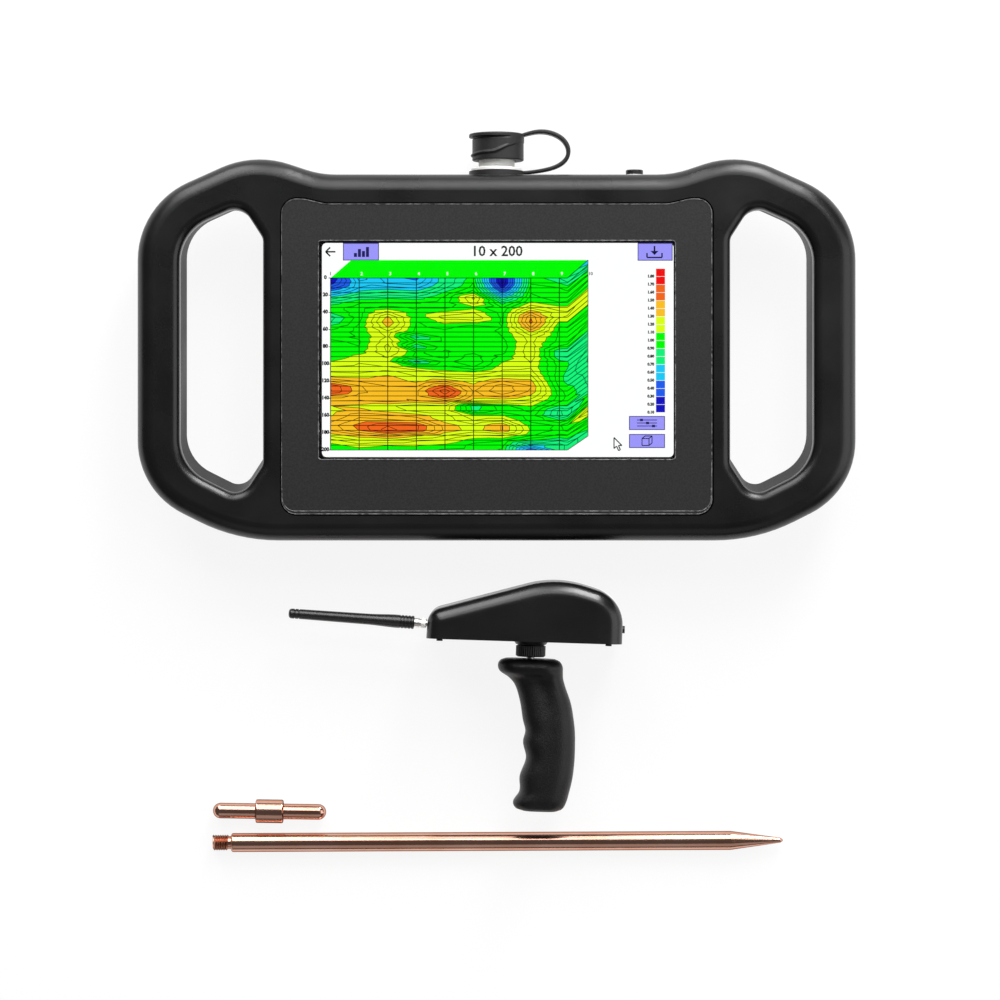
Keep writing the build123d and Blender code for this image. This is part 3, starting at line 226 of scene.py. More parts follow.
# Painted shadow: a black bead with no gloss at all, laid in the narrow gap round the bezel where shade falls
gap_painted_shadow = soft_rubber("black_painted_gap_shadow", "#030303", "#070707", 0.7, 0.9, 0.04, bend=1.0)
glass = clear_glass()
display = lit_display()

# Metals are given as dark and light ink, tint at grazing angles, roughness and the size of their marks in mm.
# Copper: warm and bright with drawn lines along the rod, a dark brown tint at grazing angles that is painted
# shade on its rims, darker on the thread as painted shade in its grooves, lacquered on wire
copper = bare_metal("copper_drawn_polished", "#dda68f", "#e9b7a3", "#36140e", 0.16, (60, 0.9, 0.9))
thread_copper_painted_shade = bare_metal("copper_thread_painted_shade", "#b4806c", "#c89682", "#30120c", 0.28, (0.8, 3, 3))
enamelled_wire = bare_metal("enamelled_copper_wire", "#8a4a26", "#a35a30", "#b08060", 0.3, (20, 20, 0.5))
# Plated and rolled: bright turned nickel, cold grey zinc and sheet with rolling lines, yellow contacts
nickel = bare_metal("nickel_plated_brass_turned", "#f0eeea", "#f8f7f4", "#ffffff", 0.36, (9, 0.7, 9))
zinc_steel = bare_metal("zinc_plated_steel", "#a9abad", "#c0c2c3", "#d8d8d8", 0.32, (2, 2, 0.8))
sheet_steel = bare_metal("rolled_steel_sheet", "#8f9294", "#a4a7a9", "#c8c8c8", 0.36, (30, 1, 1))
gold = bare_metal("gold_plated_contact", "#d8a84e", "#e6bb66", "#f0d8a0", 0.22, (1, 6, 1))
# Two pale coats that scatter most of the light, so only part of them shines as metal
matt_nickel = bare_metal(
    "nickel_plated_brass_blasted", "#f4f3f0", "#fcfbf9", "#ffffff", 0.6, (1.2, 1.2, 1.2), metal=0.2
)
bush_metal = bare_metal(
    "aluminium_anodised_clear", "#d8d8da", "#e6e6e8", "#ffffff", 0.5, (6, 0.8, 6), metal=0.6
)

NODE_FINISH = (
    (case_plastic, "console_front_shell"),
    (rear_plastic, "console_rear_shell"),
    (bezel_film, "bezel_panel"),
    (glass, "touch_glass"),
    (display_mask, "lcd_panel"),
    (ribbon_film, "display_ribbon"),
    (matt_nickel, "socket_shell"),
    (gold, "socket_contacts"),
    (bush_metal, "button_bush"),
    (ferrite, "coil_core"),
    (whip_rubber, "antenna_sheath"),
    (grip_rubber, "grip_sleeve"),
    (cap_rubber, "cap_ring", "cap_strap", "dust_cap"),
    (seal_rubber, "shell_gasket", "probe_feet"),
    (button_plastic, "power_button", "probe_button"),
    (probe_plastic, "probe_cover", "probe_base"),
    (collar_plastic, "mount_boss", "lock_collar"),
    (copper, "electrode_rod", "electrode_crossbar"),
    (enamelled_wire, "coil_bobbin", "antenna_wire"),
    (solder_mask, "main_board", "probe_board"),
    (cell_wrap, "battery_pack", "probe_battery"),
    (insulator, "socket_insert", "power_switch", "probe_switch", "grip_core"),
    (sheet_steel, "lcd_bracket", "processor_shield", "radio_module", "battery_bracket"),
    (nickel, "socket_nut", "button_nut", "mount_nut", "mount_insert"),
    (nickel, "antenna_jack", "jack_nut", "antenna_connector"),
    (zinc_steel, "bracket_screws", "board_screws", "battery_screws", "shell_screws", "base_screws"),
    (zinc_steel, "probe_board_screws", "grip_stud"),
)
for finish, *names in NODE_FINISH:
    for name in names:
        nodes[name].data.materials.clear()
        nodes[name].data.materials.append(finish)


# Making pieces

def smooth_round(mesh, angle=35):
    """Smooth shading, with every edge sharper than the angle left sharp."""
    mesh.shade_smooth()
    mesh.set_sharp_from_angle(angle=radians(angle))
    return mesh


def to_mesh(name, shape):
    """The finished shape as a mesh of this name."""
    mesh = bpy.data.meshes.new(name)
    shape.to_mesh(mesh)
    shape.free()
    return mesh


def axis_frame(start, direction):
    """Turns a shape that is made along +Z, so that it runs from start along the direction."""
    turn = Vector(direction).to_track_quat("Z", "Y").to_matrix().to_4x4()
    return Matrix.Translation(Vector(start) * MM) @ turn


def lofted(name, rings, place, angle=35):
    """A closed skin over rings of points in mm that all have the same count, or one point at a pole."""
    shape = bmesh.new()
    rows = [[shape.verts.new(Vector(point) * MM) for point in ring] for ring in rings]
    for low, high in zip(rows, rows[1:]):
        steps = max(len(low), len(high))
        for step in range(steps if steps > 1 else 0):
            corners = [low[step % len(low)], low[(step + 1) % len(low)]]
            corners += [high[(step + 1) % len(high)], high[step % len(high)]]
            shape.faces.new(list(dict.fromkeys(corners)))
    bmesh.ops.recalc_face_normals(shape, faces=shape.faces)
    bmesh.ops.transform(shape, matrix=place, verts=shape.verts)
    return smooth_round(to_mesh(name, shape), angle)


def held(outline, reach=0.2):
    """The outline with a point close to each end of its long runs, so that those stay straight to the eye."""
    points = []
    for a, b in zip(outline, outline[1:]):
        points.append(a)
        run = Vector(b) - Vector(a)
        if run.length > 4 * reach:
            near = reach / run.length
            points += [tuple(Vector(a) + run * share) for share in (near, 1 - near)]
    return points + [outline[-1]]


def turned(name, outline, place, steps=96):
    """A lathe shape from an outline of (distance along the axis, radius) in mm."""
    rings = []
    for distance, radius in held(outline):
        angles = [tau * step / steps for step in range(steps if radius else 1)]
        rings.append([(radius * cos(angle), radius * sin(angle), distance) for angle in angles])
    return lofted(name, rings, place)


def along(table, at):
    """Values at a place along a table of (place, value, ...), run smoothly through its rows."""
    at = min(max(at, table[0][0]), table[-1][0])
    row = max(index for index in range(len(table) - 1) if table[index][0] <= at)
    before, low, high = table[max(row - 1, 0)], table[row], table[row + 1]
    after = table[min(row + 2, len(table) - 1)]
    span = high[0] - low[0]
    share = (at - low[0]) / span
    values = []
    for column in range(1, len(low)):
        leave = (high[column] - before[column]) / (high[0] - before[0]) * span
        reach = (after[column] - low[column]) / (after[0] - low[0]) * span
        start = low[column] * (1 + 2 * share) + leave * share
        end = high[column] * (3 - 2 * share) - reach * (1 - share)
        values.append(start * (1 - share) ** 2 + end * share ** 2)
    return values


def quarter(middle, radius, start, steps):
    """Points along a quarter of a circle, from the angle at its start."""
    angles = [radians(start + 90 * step / steps) for step in range(steps + 1)]
    return [(middle[0] + radius * cos(angle), middle[1] + radius * sin(angle)) for angle in angles]


def eased(share):
    """A soft step from 0 to 1 as the share goes from 0 to 1."""
    share = min(max(share, 0), 1)
    return share * share * (3 - 2 * share)


def settled(holder, name):
    """The plain mesh that an object's modifiers make of it."""
    made = holder.evaluated_get(bpy.context.evaluated_depsgraph_get())
    mesh = bpy.data.meshes.new_from_object(made)
    bpy.data.objects.remove(holder)
    mesh.name = name
    return mesh


def bored(mesh, tool):
    """The mesh with the tool's shape cut out of it."""
    holder, cutter = [bpy.data.objects.new(shape.name, shape) for shape in (mesh, tool)]
    for shown in (holder, cutter):
        scene.collection.objects.link(shown)
    cutting = holder.modifiers.new("bore", "BOOLEAN")
    cutting.operation = "DIFFERENCE"
    cutting.solver = "EXACT"
    cutting.object = cutter
    result = settled(holder, mesh.name)
    bpy.data.objects.remove(cutter)
    return smooth_round(result)


def piece(mesh, finish, body, stands_for):
    """A finished piece: its finish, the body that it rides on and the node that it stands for."""
    obj = bpy.data.objects.new(mesh.name, mesh)
    scene.collection.objects.link(obj)
    mesh.materials.clear()
    mesh.materials.append(finish)
    if body:
        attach(obj, body)
    if stands_for:
        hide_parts(stands_for)
    return obj


def merged_copy(node):
    """The node's own shape with its loose triangles joined and flat faces made whole."""
    shape = bmesh.new()
    shape.from_mesh(nodes[node].data)
    bmesh.ops.remove_doubles(shape, verts=shape.verts, dist=0.002 * MM)
    bmesh.ops.dissolve_limit(shape, angle_limit=radians(0.5), verts=shape.verts, edges=shape.edges)
    return shape


# Node trees that repeat a shape or follow a path

def shape_tree(name, inputs):
    """A tree that takes geometry and these named sizes, and gives geometry."""
    tree = bpy.data.node_groups.new(name, "GeometryNodeTree")
    tree.interface.new_socket("Geometry", in_out="INPUT", socket_type="NodeSocketGeometry")
    for label, kind in inputs.items():
        tree.interface.new_socket(label, in_out="INPUT", socket_type="NodeSocket" + kind)
    tree.interface.new_socket("Geometry", in_out="OUTPUT", socket_type="NodeSocketGeometry")
    return tree, add(tree, "NodeGroupInput").outputs


def end_tree(tree, geometry, finish):
    """Ends a tree with real geometry in its finish."""
    real = add(tree, "GeometryNodeRealizeInstances", {"Geometry": geometry})
    coated = add(tree, "GeometryNodeSetMaterial", {"Geometry": real.outputs[0], "Material": finish})
    add(tree, "NodeGroupOutput", {"Geometry": coated.outputs[0]})
    return tree


def end_sweep(tree, path, profile, finish, **inputs):
    """Ends a tree with a closed skin that takes the profile along the path."""
    given = {"Curve": path.outputs[0], "Profile Curve": profile.outputs[0], "Fill Caps": True, **inputs}
    return end_tree(tree, add(tree, "GeometryNodeCurveToMesh", given).outputs[0], finish)


def grown(name, tree, sizes, place, base=None):
    """The plain mesh that a tree makes with these sizes, moved to its place."""
    holder = bpy.data.objects.new(name, base or bpy.data.meshes.new(name))
    scene.collection.objects.link(holder)
    modifier = holder.modifiers.new("shape", "NODES")
    modifier.node_group = tree
    for item in tree.interface.items_tree:
        if item.in_out == "INPUT" and item.name in sizes:
            modifier[item.identifier] = sizes[item.name]
    mesh = settled(holder, name)
    mesh.transform(place)
    return smooth_round(mesh)


def ribs_tree(finish):
    """Straight ribs that stand side by side round an axis."""
    tree, given = shape_tree(
        "ribs_round_axis", {"Count": "Int", "Circle": "Float", "Rib Radius": "Float", "Rib Length": "Float"}
    )
    ring = add(tree, "GeometryNodeMeshCircle", {"Vertices": given["Count"], "Radius": given["Circle"]})
    sizes = {"Vertices": 8, "Radius": given["Rib Radius"], "Depth": given["Rib Length"]}
    rib = add(tree, "GeometryNodeMeshCylinder", sizes)
    pair = {"Points": ring.outputs[0], "Instance": rib.outputs["Mesh"]}
    return end_tree(tree, add(tree, "GeometryNodeInstanceOnPoints", pair).outputs[0], finish)


def thread_tree(finish):
    """A screw thread: a ridge with a square-on-edge section that winds round a core."""
    tree, given = shape_tree(
        "screw_thread", {"Turns": "Float", "Radius": "Float", "Length": "Float", "Ridge": "Float"}
    )
    radii = {"Start Radius": given["Radius"], "End Radius": given["Radius"]}
    winding = {"Resolution": 40, "Rotations": given["Turns"], "Height": given["Length"], **radii}
    path = add(tree, "GeometryNodeCurveSpiral", winding)
    level = add(tree, "GeometryNodeSetCurveNormal", {"Curve": path.outputs[0]}, mode="Z_UP")
    ridge = add(tree, "GeometryNodeCurvePrimitiveCircle", {"Resolution": 4, "Radius": given["Ridge"]})
    return end_sweep(tree, level, ridge, finish)


def strap_tree(finish):
    """A flat moulded strap with round edges, swept along its path and as thick as the path's radius says."""
    tree, given = shape_tree("moulded_strap", {"Width": "Float", "Thickness": "Float", "Edge": "Float"})
    level = add(tree, "GeometryNodeSetCurveNormal", {"Curve": given["Geometry"]}, mode="Z_UP")
    section = {"Width": given["Thickness"], "Height": given["Width"]}
    flat = add(tree, "GeometryNodeCurvePrimitiveQuadrilateral", section)
    rounding = {"Curve": flat.outputs[0], "Radius": given["Edge"], "Count": 4}
    soft = add(tree, "GeometryNodeFilletCurve", rounding, mode="POLY")
    return end_sweep(tree, level, soft, finish, Scale=add(tree, "GeometryNodeInputRadius").outputs[0])


def bead_tree(finish):
    """A fine round bead that follows the edges it is given."""
    tree, given = shape_tree("edge_bead", {"Bead Radius": "Float"})
    path = add(tree, "GeometryNodeMeshToCurve", {"Mesh": given["Geometry"]})
    ring = add(tree, "GeometryNodeCurvePrimitiveCircle", {"Resolution": 8, "Radius": given["Bead Radius"]})
    return end_sweep(tree, path, ring, finish)


collar_ribs = ribs_tree(collar_plastic)
knurl_ribs = ribs_tree(nickel)
copper_thread = thread_tree(thread_copper_painted_shade)
rubber_strap = strap_tree(cap_rubber)
edge_bead = bead_tree(pale_edge_painted_highlight)
painted_shadow_bead = bead_tree(gap_painted_shadow)


# Console: bezel plate, with light lines at its edge, its window and its film's end that are partly painted
# highlight, and a black line of painted shadow in the gap round it

WINDOW_REACH = (112 * MM, 70 * MM)
# How far the window's edges move out in mm: left and right, bottom and top
WINDOW_X, WINDOW_Y = (-0.4, 0.8), (-0.3, 1.0)
EDGE_BEAD, WINDOW_BEAD, FILM_BEAD, GAP_BEAD = 0.34, 0.32, 0.3, 0.5
FILM_MARGIN, FILM_SIDE, FILM_CORNER, FILM_RISE, FILM_STEPS = 1.8, 0.4, 8.0, 14.0, 8
GAP_OFFSET = 0.62 * MM
# The painted shadow in the gap shows more at the plate's right and top than at its left and bottom
GAP_SHIFT = Vector((0.3, 0.1, 0.0)) * MM


def bead(name, places, chain, radius, tree=edge_bead, finish=pale_edge_painted_highlight):
    """A fine bead along a chain of points, closed where the chain is."""
    path = bpy.data.meshes.new(name)
    path.from_pydata(places, chain, [])
    mesh = grown(name, tree, {"Bead Radius": radius * MM}, Matrix(), path)
    piece(mesh, finish, "console", None)


def at_window(place):
    """Whether a place on the plate belongs to its window."""
    return abs(place.x) < WINDOW_REACH[0] and abs(place.y) < WINDOW_REACH[1]


def front_rim(shape, inner):
    """Front edge of the plate, at its window or all round: places, chain, and the way out at each place."""
    spots, outward, chain = {}, {}, []
    for edge in shape.edges:
        facing_up = sorted(face.normal.z > 0.99 for face in edge.link_faces)
        if facing_up == [False, True] and at_window(edge.verts[0].co) == inner:
            ends = [tuple(round(value, 7) for value in vert.co) for vert in edge.verts]
            chain.append([spots.setdefault(end, len(spots)) for end in ends])
            wall = min(edge.link_faces, key=lambda face: face.normal.z).normal
            for end in ends:
                outward.setdefault(end, Vector()).xy += wall.xy
    return list(spots), chain, [outward[spot].normalized() for spot in spots]


def bezel_plate():
    """The plate with its window opened a little, pale lines along its edges that are partly painted
    highlight, and a black line of painted shadow round it.
    """
    shape = merged_copy("bezel_panel")
    for vert in shape.verts:
        if at_window(vert.co):
            vert.co += Vector((WINDOW_X[vert.co.x > 0], WINDOW_Y[vert.co.y > 0], 0)) * MM
    places, chain, outward = front_rim(shape, False)
    # Pale beads on the plate's outer edge and window edge: their light grey is partly a painted highlight
    bead("bezel_edge_line", places, chain, EDGE_BEAD)
    # A black bead of painted shadow along the gap round the plate
    gap = [Vector(place) + way * GAP_OFFSET + GAP_SHIFT for place, way in zip(places, outward)]
    bead("bezel_gap_painted_shadow", gap, chain, GAP_BEAD, painted_shadow_bead, gap_painted_shadow)
    places, chain, _ = front_rim(shape, True)
    bead("window_edge_line", places, chain, WINDOW_BEAD)
    plate = smooth_round(to_mesh("bezel_plate", shape), 12)
    piece(plate, bezel_film, "console", "bezel_panel")


def film_end():
    """The film on the plate ends a little above the plate's lower edge."""
    low, high = [[value / MM for value in corner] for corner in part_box("bezel_panel")]
    left, right, bottom = low[0] + FILM_SIDE, high[0] - FILM_SIDE, low[1] + FILM_MARGIN
    points = [(left, bottom + FILM_RISE)]
    for middle, start in ((left + FILM_CORNER, 180), (right - FILM_CORNER, 270)):
        points += quarter((middle, bottom + FILM_CORNER), FILM_CORNER, start, FILM_STEPS)
    points.append((right, bottom + FILM_RISE))
    places = [(x * MM, y * MM, high[2] * MM) for x, y in points]
    # A pale bead at the film's end, its light grey partly a painted highlight
    bead("film_end_line", places, [(step, step + 1) for step in range(len(places) - 1)], FILM_BEAD)


bezel_plate()
film_end()


# Screen picture, drawn in screen units from the top left corner of the lit area

SCREEN_UNIT = 0.6123
SCREEN_LEFT = -106.9
SCREEN_TOP = 66.05
SCREEN_SIZE = (351.6, 214)
SCREEN_CORNER, CORNER_STEPS = 4.5, 5
PICTURE_Z = 51.73
# Layers of the picture from below, and the step between them in mm
GROUND, FILL, LINE, SIGN = range(4)
LAYER_STEP = 0.05
BAND_INKS = (
    "#1414b8", "#1f5ae6", "#1cc4f0", "#12ec78", "#02f402", "#d6fa14", "#f6ba22", "#ee641c", "#ee1010"
)
WHITE = "#fbfbfb"
INK = "#101010"
VIOLET, VIOLET_EDGE, VIOLET_MARK, VIOLET_SIGN = "#9a94f6", "#3c3a78", "#24225a", "#16143c"
TINY = 1e-6
inked = []


def patch(points, ink, layer):
    """A flat patch of ink, given as points of the screen and turned to face the viewer."""
    area = sum(a[0] * b[1] - b[0] * a[1] for a, b in zip(points, points[1:] + points[:1]))
    if abs(area) > TINY:
        inked.append((points if area < 0 else points[::-1], ink, layer))


def box(left, top, right, bottom, ink, layer=SIGN):
    patch([(left, top), (right, top), (right, bottom), (left, bottom)], ink, layer)


def stroke(points, width, ink, layer=SIGN):
    """A line through the points, as one patch for each of its runs."""
    for a, b in zip(points, points[1:]):
        length = sqrt((b[0] - a[0]) ** 2 + (b[1] - a[1]) ** 2)
        if length > TINY:
            across = ((a[1] - b[1]) / length * width / 2, (b[0] - a[0]) / length * width / 2)
            sides = ((a, 1), (b, 1), (b, -1), (a, -1))
            patch([(p[0] + side * across[0], p[1] + side * across[1]) for p, side in sides], ink, layer)


def number(words, middle, level, size, ink=INK, weight=0.1):
    """Plain bold figures, centred on a point of the screen."""
    data = bpy.data.curves.new("figures", "FONT")
    data.body = words
    data.size = size
    data.offset = weight
    data.align_x = "CENTER"
    data.align_y = "CENTER"
    data.resolution_u = 2
    holder = bpy.data.objects.new("figures", data)
    mesh = bpy.data.meshes.new_from_object(holder)
    for face in mesh.polygons:
        corners = [mesh.vertices[index].co for index in face.vertices]
        patch([(middle + co.x, level - co.y) for co in corners], ink, SIGN)
    bpy.data.meshes.remove(mesh)
    bpy.data.objects.remove(holder)
    bpy.data.curves.remove(data)


# Depth plot: a made-up signal, given as spots of (height, column, depth share, two spreads)

COLUMNS = 9
ROWS = 35
PLOT_LEFT, PLOT_TOP, PLOT_DEEP = 8.6, 35.0, 172.0
COLUMN_STEP = 28.6
FOLD = 8.28
FOLD_RISE = (17.9, 14.0)
CONTOURS = 27
GRID_SHADE = 0.15
CONTOUR_WIDTH, ROW_WIDTH, COLUMN_WIDTH, FRAME_WIDTH = 0.6, 0.7, 0.85, 0.7
ROW_PARTS = 5
DEPTH_MARKS, DEPTH_STEP = 10, 20
COLUMN_FIGURE, DEPTH_FIGURE, SCALE_FIGURE, TITLE_FIGURE = 4.6, 5.0, 3.9, 14.5
PALE_INK = "#f2fff0"
SPOTS = (
    (-0.40, 0.0, 0.00, 0.8, 0.10), (-0.30, 2.8, 0.00, 1.3, 0.09), (-0.52, 6.0, 0.00, 0.5, 0.11),
    (-0.22, 8.8, 0.00, 0.9, 0.05), (-0.10, 1.0, 0.05, 1.4, 0.08), (0.19, 2.0, 0.255, 0.7, 0.075),
    (0.11, 1.9, 0.40, 0.6, 0.07), (0.17, 5.0, 0.125, 0.5, 0.035), (0.16, 4.5, 0.225, 0.9, 0.04),
    (-0.13, 3.0, 0.345, 0.4, 0.022), (-0.12, 3.0, 0.395, 0.4, 0.016), (-0.12, 0.0, 0.235, 0.6, 0.04),
    (0.275, 7.0, 0.245, 0.62, 0.085), (0.12, 8.6, 0.21, 0.9, 0.06), (0.10, 7.0, 0.42, 0.3, 0.10),
    (0.225, 1.5, 0.67, 3.4, 0.175), (0.24, 4.0, 0.665, 0.75, 0.055), (0.21, 1.8, 0.875, 3.0, 0.085),
    (0.13, 2.5, 0.875, 1.7, 0.03), (-0.12, 2.2, 0.755, 1.3, 0.02), (0.20, 0.0, 0.64, 0.7, 0.045),
    (0.21, 6.4, 0.655, 1.4, 0.075), (0.08, 6.3, 0.56, 1.6, 0.10), (-0.15, 8.7, 0.60, 1.0, 0.16),
    (0.19, 6.0, 0.875, 0.8, 0.045), (-0.26, 5.2, 0.755, 0.8, 0.022), (-0.12, 8.6, 0.44, 0.8, 0.03),
    (-0.30, 7.1, 1.02, 0.7, 0.05), (-0.12, 8.0, 0.98, 1.5, 0.05), (-0.13, 8.0, 0.79, 0.7, 0.04),
    (0.16, 9.0, 0.86, 0.6, 0.035), (-0.19, 3.1, 0.49, 0.7, 0.025), (-0.10, 5.0, 0.50, 0.8, 0.06),
)


def signal(column, depth):
    """The made-up reading at a column and a share of the depth: a faint ripple with the spots on it."""
    value = 0.5 + 0.014 * sin(2.4 * column + 38 * depth)
    for height, at, low, wide, deep in SPOTS:
        value += height * exp(-(((column - at) / wide) ** 2) - ((depth - low) / deep) ** 2)
    return min(max(value, 0.02), 0.98)


def plot_place(point):
    """Place on the screen of a column and depth; past the fold the plot turns back and rises."""
    column, depth = point[:2]
    rise = FOLD_RISE[0] + (FOLD_RISE[1] - FOLD_RISE[0]) * depth
    lift = max(column - FOLD, 0) / (COLUMNS - FOLD) * rise
    return (PLOT_LEFT + COLUMN_STEP * column, PLOT_TOP + PLOT_DEEP * depth - lift)


def cut(points, level, keep_above):
    """The part of a polygon whose third value is above, or below, the level."""
    kept = []
    for a, b in zip(points, points[1:] + points[:1]):
        inside = [(p[2] >= level) == keep_above for p in (a, b)]
        if inside[0]:
            kept.append(a)
        if inside[0] != inside[1]:
            share = (level - a[2]) / (b[2] - a[2])
            kept.append(tuple(x + share * (y - x) for x, y in zip(a, b)))
    return kept


def band_ink(value, share=1.0):
    """Ink of the signal's band, or with a smaller share its darker shade under a printed line."""
    ink = BAND_INKS[min(int(value * len(BAND_INKS)), len(BAND_INKS) - 1)]
    return "#" + "".join(f"{int(int(ink[at:at + 2], 16) * share):02x}" for at in (1, 3, 5))


def plot_values():
    """The signal at each column and row; at the fold it lies straight between its two neighbours."""
    values = {c: [signal(c, r / ROWS) for r in range(ROWS + 1)] for c in range(COLUMNS + 1)}
    low, share = int(FOLD), FOLD - int(FOLD)
    values[FOLD] = [a + share * (b - a) for a, b in zip(values[low], values[low + 1])]
    return dict(sorted(values.items()))


def plot_bands(corners):
    """The colour bands and contour lines in one triangle of (column, depth, signal)."""
    low, high = min(p[2] for p in corners), max(p[2] for p in corners)
    for band, ink in enumerate(BAND_INKS):
        floor, roof = band / len(BAND_INKS), (band + 1) / len(BAND_INKS)
        if low < roof and high >= floor:
            part = cut(corners, floor, True)
            part = cut(part, roof, False) if part else part
            if len(part) > 2:
                patch([plot_place(p) for p in part], ink, FILL)
    for step in range(1, CONTOURS):
        level = step / CONTOURS
        if low < level < high:
            line = [p for p in cut(corners, level, True) if abs(p[2] - level) < 1e-9]
            if len(line) == 2:
                stroke([plot_place(p) for p in line], CONTOUR_WIDTH, band_ink(level, GRID_SHADE), LINE)


def plot_line(start, end, width, parts, layer):
    """A line of the grid, in a dark shade of the ink that it crosses."""
    for part in range(parts):
        a, b = [tuple(x + (y - x) * share / parts for x, y in zip(start, end)) for share in (part, part + 1)]
        stroke([plot_place(a), plot_place(b)], width, band_ink((a[2] + b[2]) / 2, GRID_SHADE), layer)


def draw_plot():
    """Bands, contours and grid of every cell, the frame round them, and the green top face."""
    values = plot_values()
    columns = list(values)
    for left, right in zip(columns, columns[1:]):
        for row in range(ROWS):
            spots = [(left, row), (right, row), (right, row + 1), (left, row + 1)]
            a, b, c, d = [(x, r / ROWS, values[x][r]) for x, r in spots]
            plot_bands([a, b, c])
            plot_bands([a, c, d])
            plot_line(a, b, ROW_WIDTH, ROW_PARTS, LINE)
            if left != FOLD:
                plot_line(a, d, COLUMN_WIDTH, 1, SIGN)
    for start, end in (((0, 1), (FOLD, 1)), ((FOLD, 1), (COLUMNS, 1)), ((COLUMNS, 0), (COLUMNS, 1))):
        stroke([plot_place(start), plot_place(end)], FRAME_WIDTH, INK)
    top_left, fold, end = [plot_place((c, 0)) for c in (0, FOLD, COLUMNS)]
    patch([top_left, (top_left[0] + end[0] - fold[0], end[1]), end, fold], BAND_INKS[4], FILL)


def draw_plot_figures():
    """Figures along the plot's top, pale where they lie on its green face, and down its depth."""
    for column in range(COLUMNS + 1):
        outside = column in (0, COLUMNS)
        across = plot_place((column, 0))[0] + (2.5 if column else 0)
        number(str(column + 1), across, PLOT_TOP - 4.2, COLUMN_FIGURE, INK if outside else PALE_INK)
    for step in range(DEPTH_MARKS + 1):
        level = PLOT_TOP + PLOT_DEEP * step / DEPTH_MARKS
        number(str(step * DEPTH_STEP), 3.4, level - 0.6, DEPTH_FIGURE, weight=0.32)
        stroke([(6.6, level), (PLOT_LEFT, level)], FRAME_WIDTH, INK)


# Keys, colour scale and signs beside the plot

KEYS = ((21, 0, 57, 17.5), (315.6, 0, 350.6, 17.7), (307, 173, 343, 187), (307, 191, 343, 205))
KEY_EDGE = 0.8
SCALE_LEFT, SCALE_RIGHT, SCALE_TOP, SCALE_STEP, SCALE_CELL = 334, 343, 25.7, 8, 7.6
SCALE_CELLS = 18
POINTER = (
    (292, 194.5), (292, 205.5), (294.6, 203.2), (296.6, 207.6),
    (298.4, 206.7), (296.4, 202.5), (299.9, 202.5), (292, 194.5),
)


def draw_keys():
    """Violet keys with pictograms: bars, a tray for saving, sliders and a cube."""
    for left, top, right, bottom in KEYS:
        box(left, top, right, bottom, VIOLET_EDGE, FILL)
        box(left + KEY_EDGE, top + KEY_EDGE, right - KEY_EDGE, bottom - KEY_EDGE, VIOLET, LINE)
    for step, height in enumerate((4, 8, 6, 10)):
        box(32 + 4 * step, 14 - height, 35 + 4 * step, 14, VIOLET_MARK)
    stroke([(332.5, 3), (332.5, 9)], 1.6, VIOLET_SIGN)
    patch([(328.5, 8), (336.5, 8), (332.5, 12)], VIOLET_SIGN, SIGN)
    stroke([(325, 10), (325, 14.5), (340, 14.5), (340, 10)], 1.4, VIOLET_SIGN)
    for step in range(3):
        level, slide = 177 + 3 * step, 318 + 6 * step
        stroke([(315, level), (335, level)], 0.8, VIOLET_MARK)
        box(slide, level - 1.2, slide + 3, level + 1.2, VIOLET_MARK)
    for line in (
        [(320, 195.5), (327, 195.5), (327, 202.5), (320, 202.5), (320, 195.5)],
        [(320, 195.5), (323, 193), (330, 193), (327, 195.5)],
        [(330, 193), (330, 200), (327, 202.5)],
    ):
        stroke(line, 0.9, VIOLET_SIGN)


def draw_scale():
    """Colour scale at the right, two cells to a band, with its figures."""
    for cell in range(SCALE_CELLS):
        top = SCALE_TOP + SCALE_STEP * cell
        box(SCALE_LEFT, top, SCALE_RIGHT, top + SCALE_CELL, BAND_INKS[-1 - cell // 2], FILL)
        number(f"{(SCALE_CELLS - cell) / 10:.2f}", 328.8, top + SCALE_CELL, SCALE_FIGURE, weight=0.26)


def draw_signs():
    """An arrow back, the size of the plot in plain numbers, and the pointer."""
    stroke([(3.5, 8.8), (13.5, 8.8)], 1.5, INK)
    stroke([(8.2, 4.4), (3.8, 8.8), (8.2, 13.2)], 1.5, INK)
    number("10 x 200", 175, 8.6, TITLE_FIGURE, weight=0.22)
    stroke(POINTER, 1.1, "#181818")


def lit_area():
    """The white ground of the picture, with round corners."""
    wide, high = SCREEN_SIZE
    points = []
    for x, y, start in ((wide, 0, -90), (wide, high, 0), (0, high, 90), (0, 0, 180)):
        middle = (abs(x - SCREEN_CORNER), abs(y - SCREEN_CORNER))
        points += quarter(middle, SCREEN_CORNER, start, CORNER_STEPS)
    patch(points, WHITE, GROUND)


def screen_picture():
    """All the patches as one mesh, each corner with its ink."""
    for draw in (lit_area, draw_plot, draw_plot_figures, draw_keys, draw_scale, draw_signs):
        draw()
    places, faces, inks = [], [], []
    for points, ink, layer in inked:
        faces.append(range(len(places), len(places) + len(points)))
        level = PICTURE_Z + layer * LAYER_STEP
        for across, down in points:
            spot = (SCREEN_LEFT + across * SCREEN_UNIT, SCREEN_TOP - down * SCREEN_UNIT, level)
            places.append([value * MM for value in spot])
            inks += linear(ink)
    mesh = bpy.data.meshes.new("screen_picture")
    mesh.from_pydata(places, [], faces)
    tint = mesh.attributes.new("ink", "FLOAT_COLOR", "CORNER")
    tint.data.foreach_set("color", inks)
    piece(mesh, display, "console", None)


screen_picture()


# Socket and button on the top wall: turned shell, rubber cap with its slanting band, strap and bush

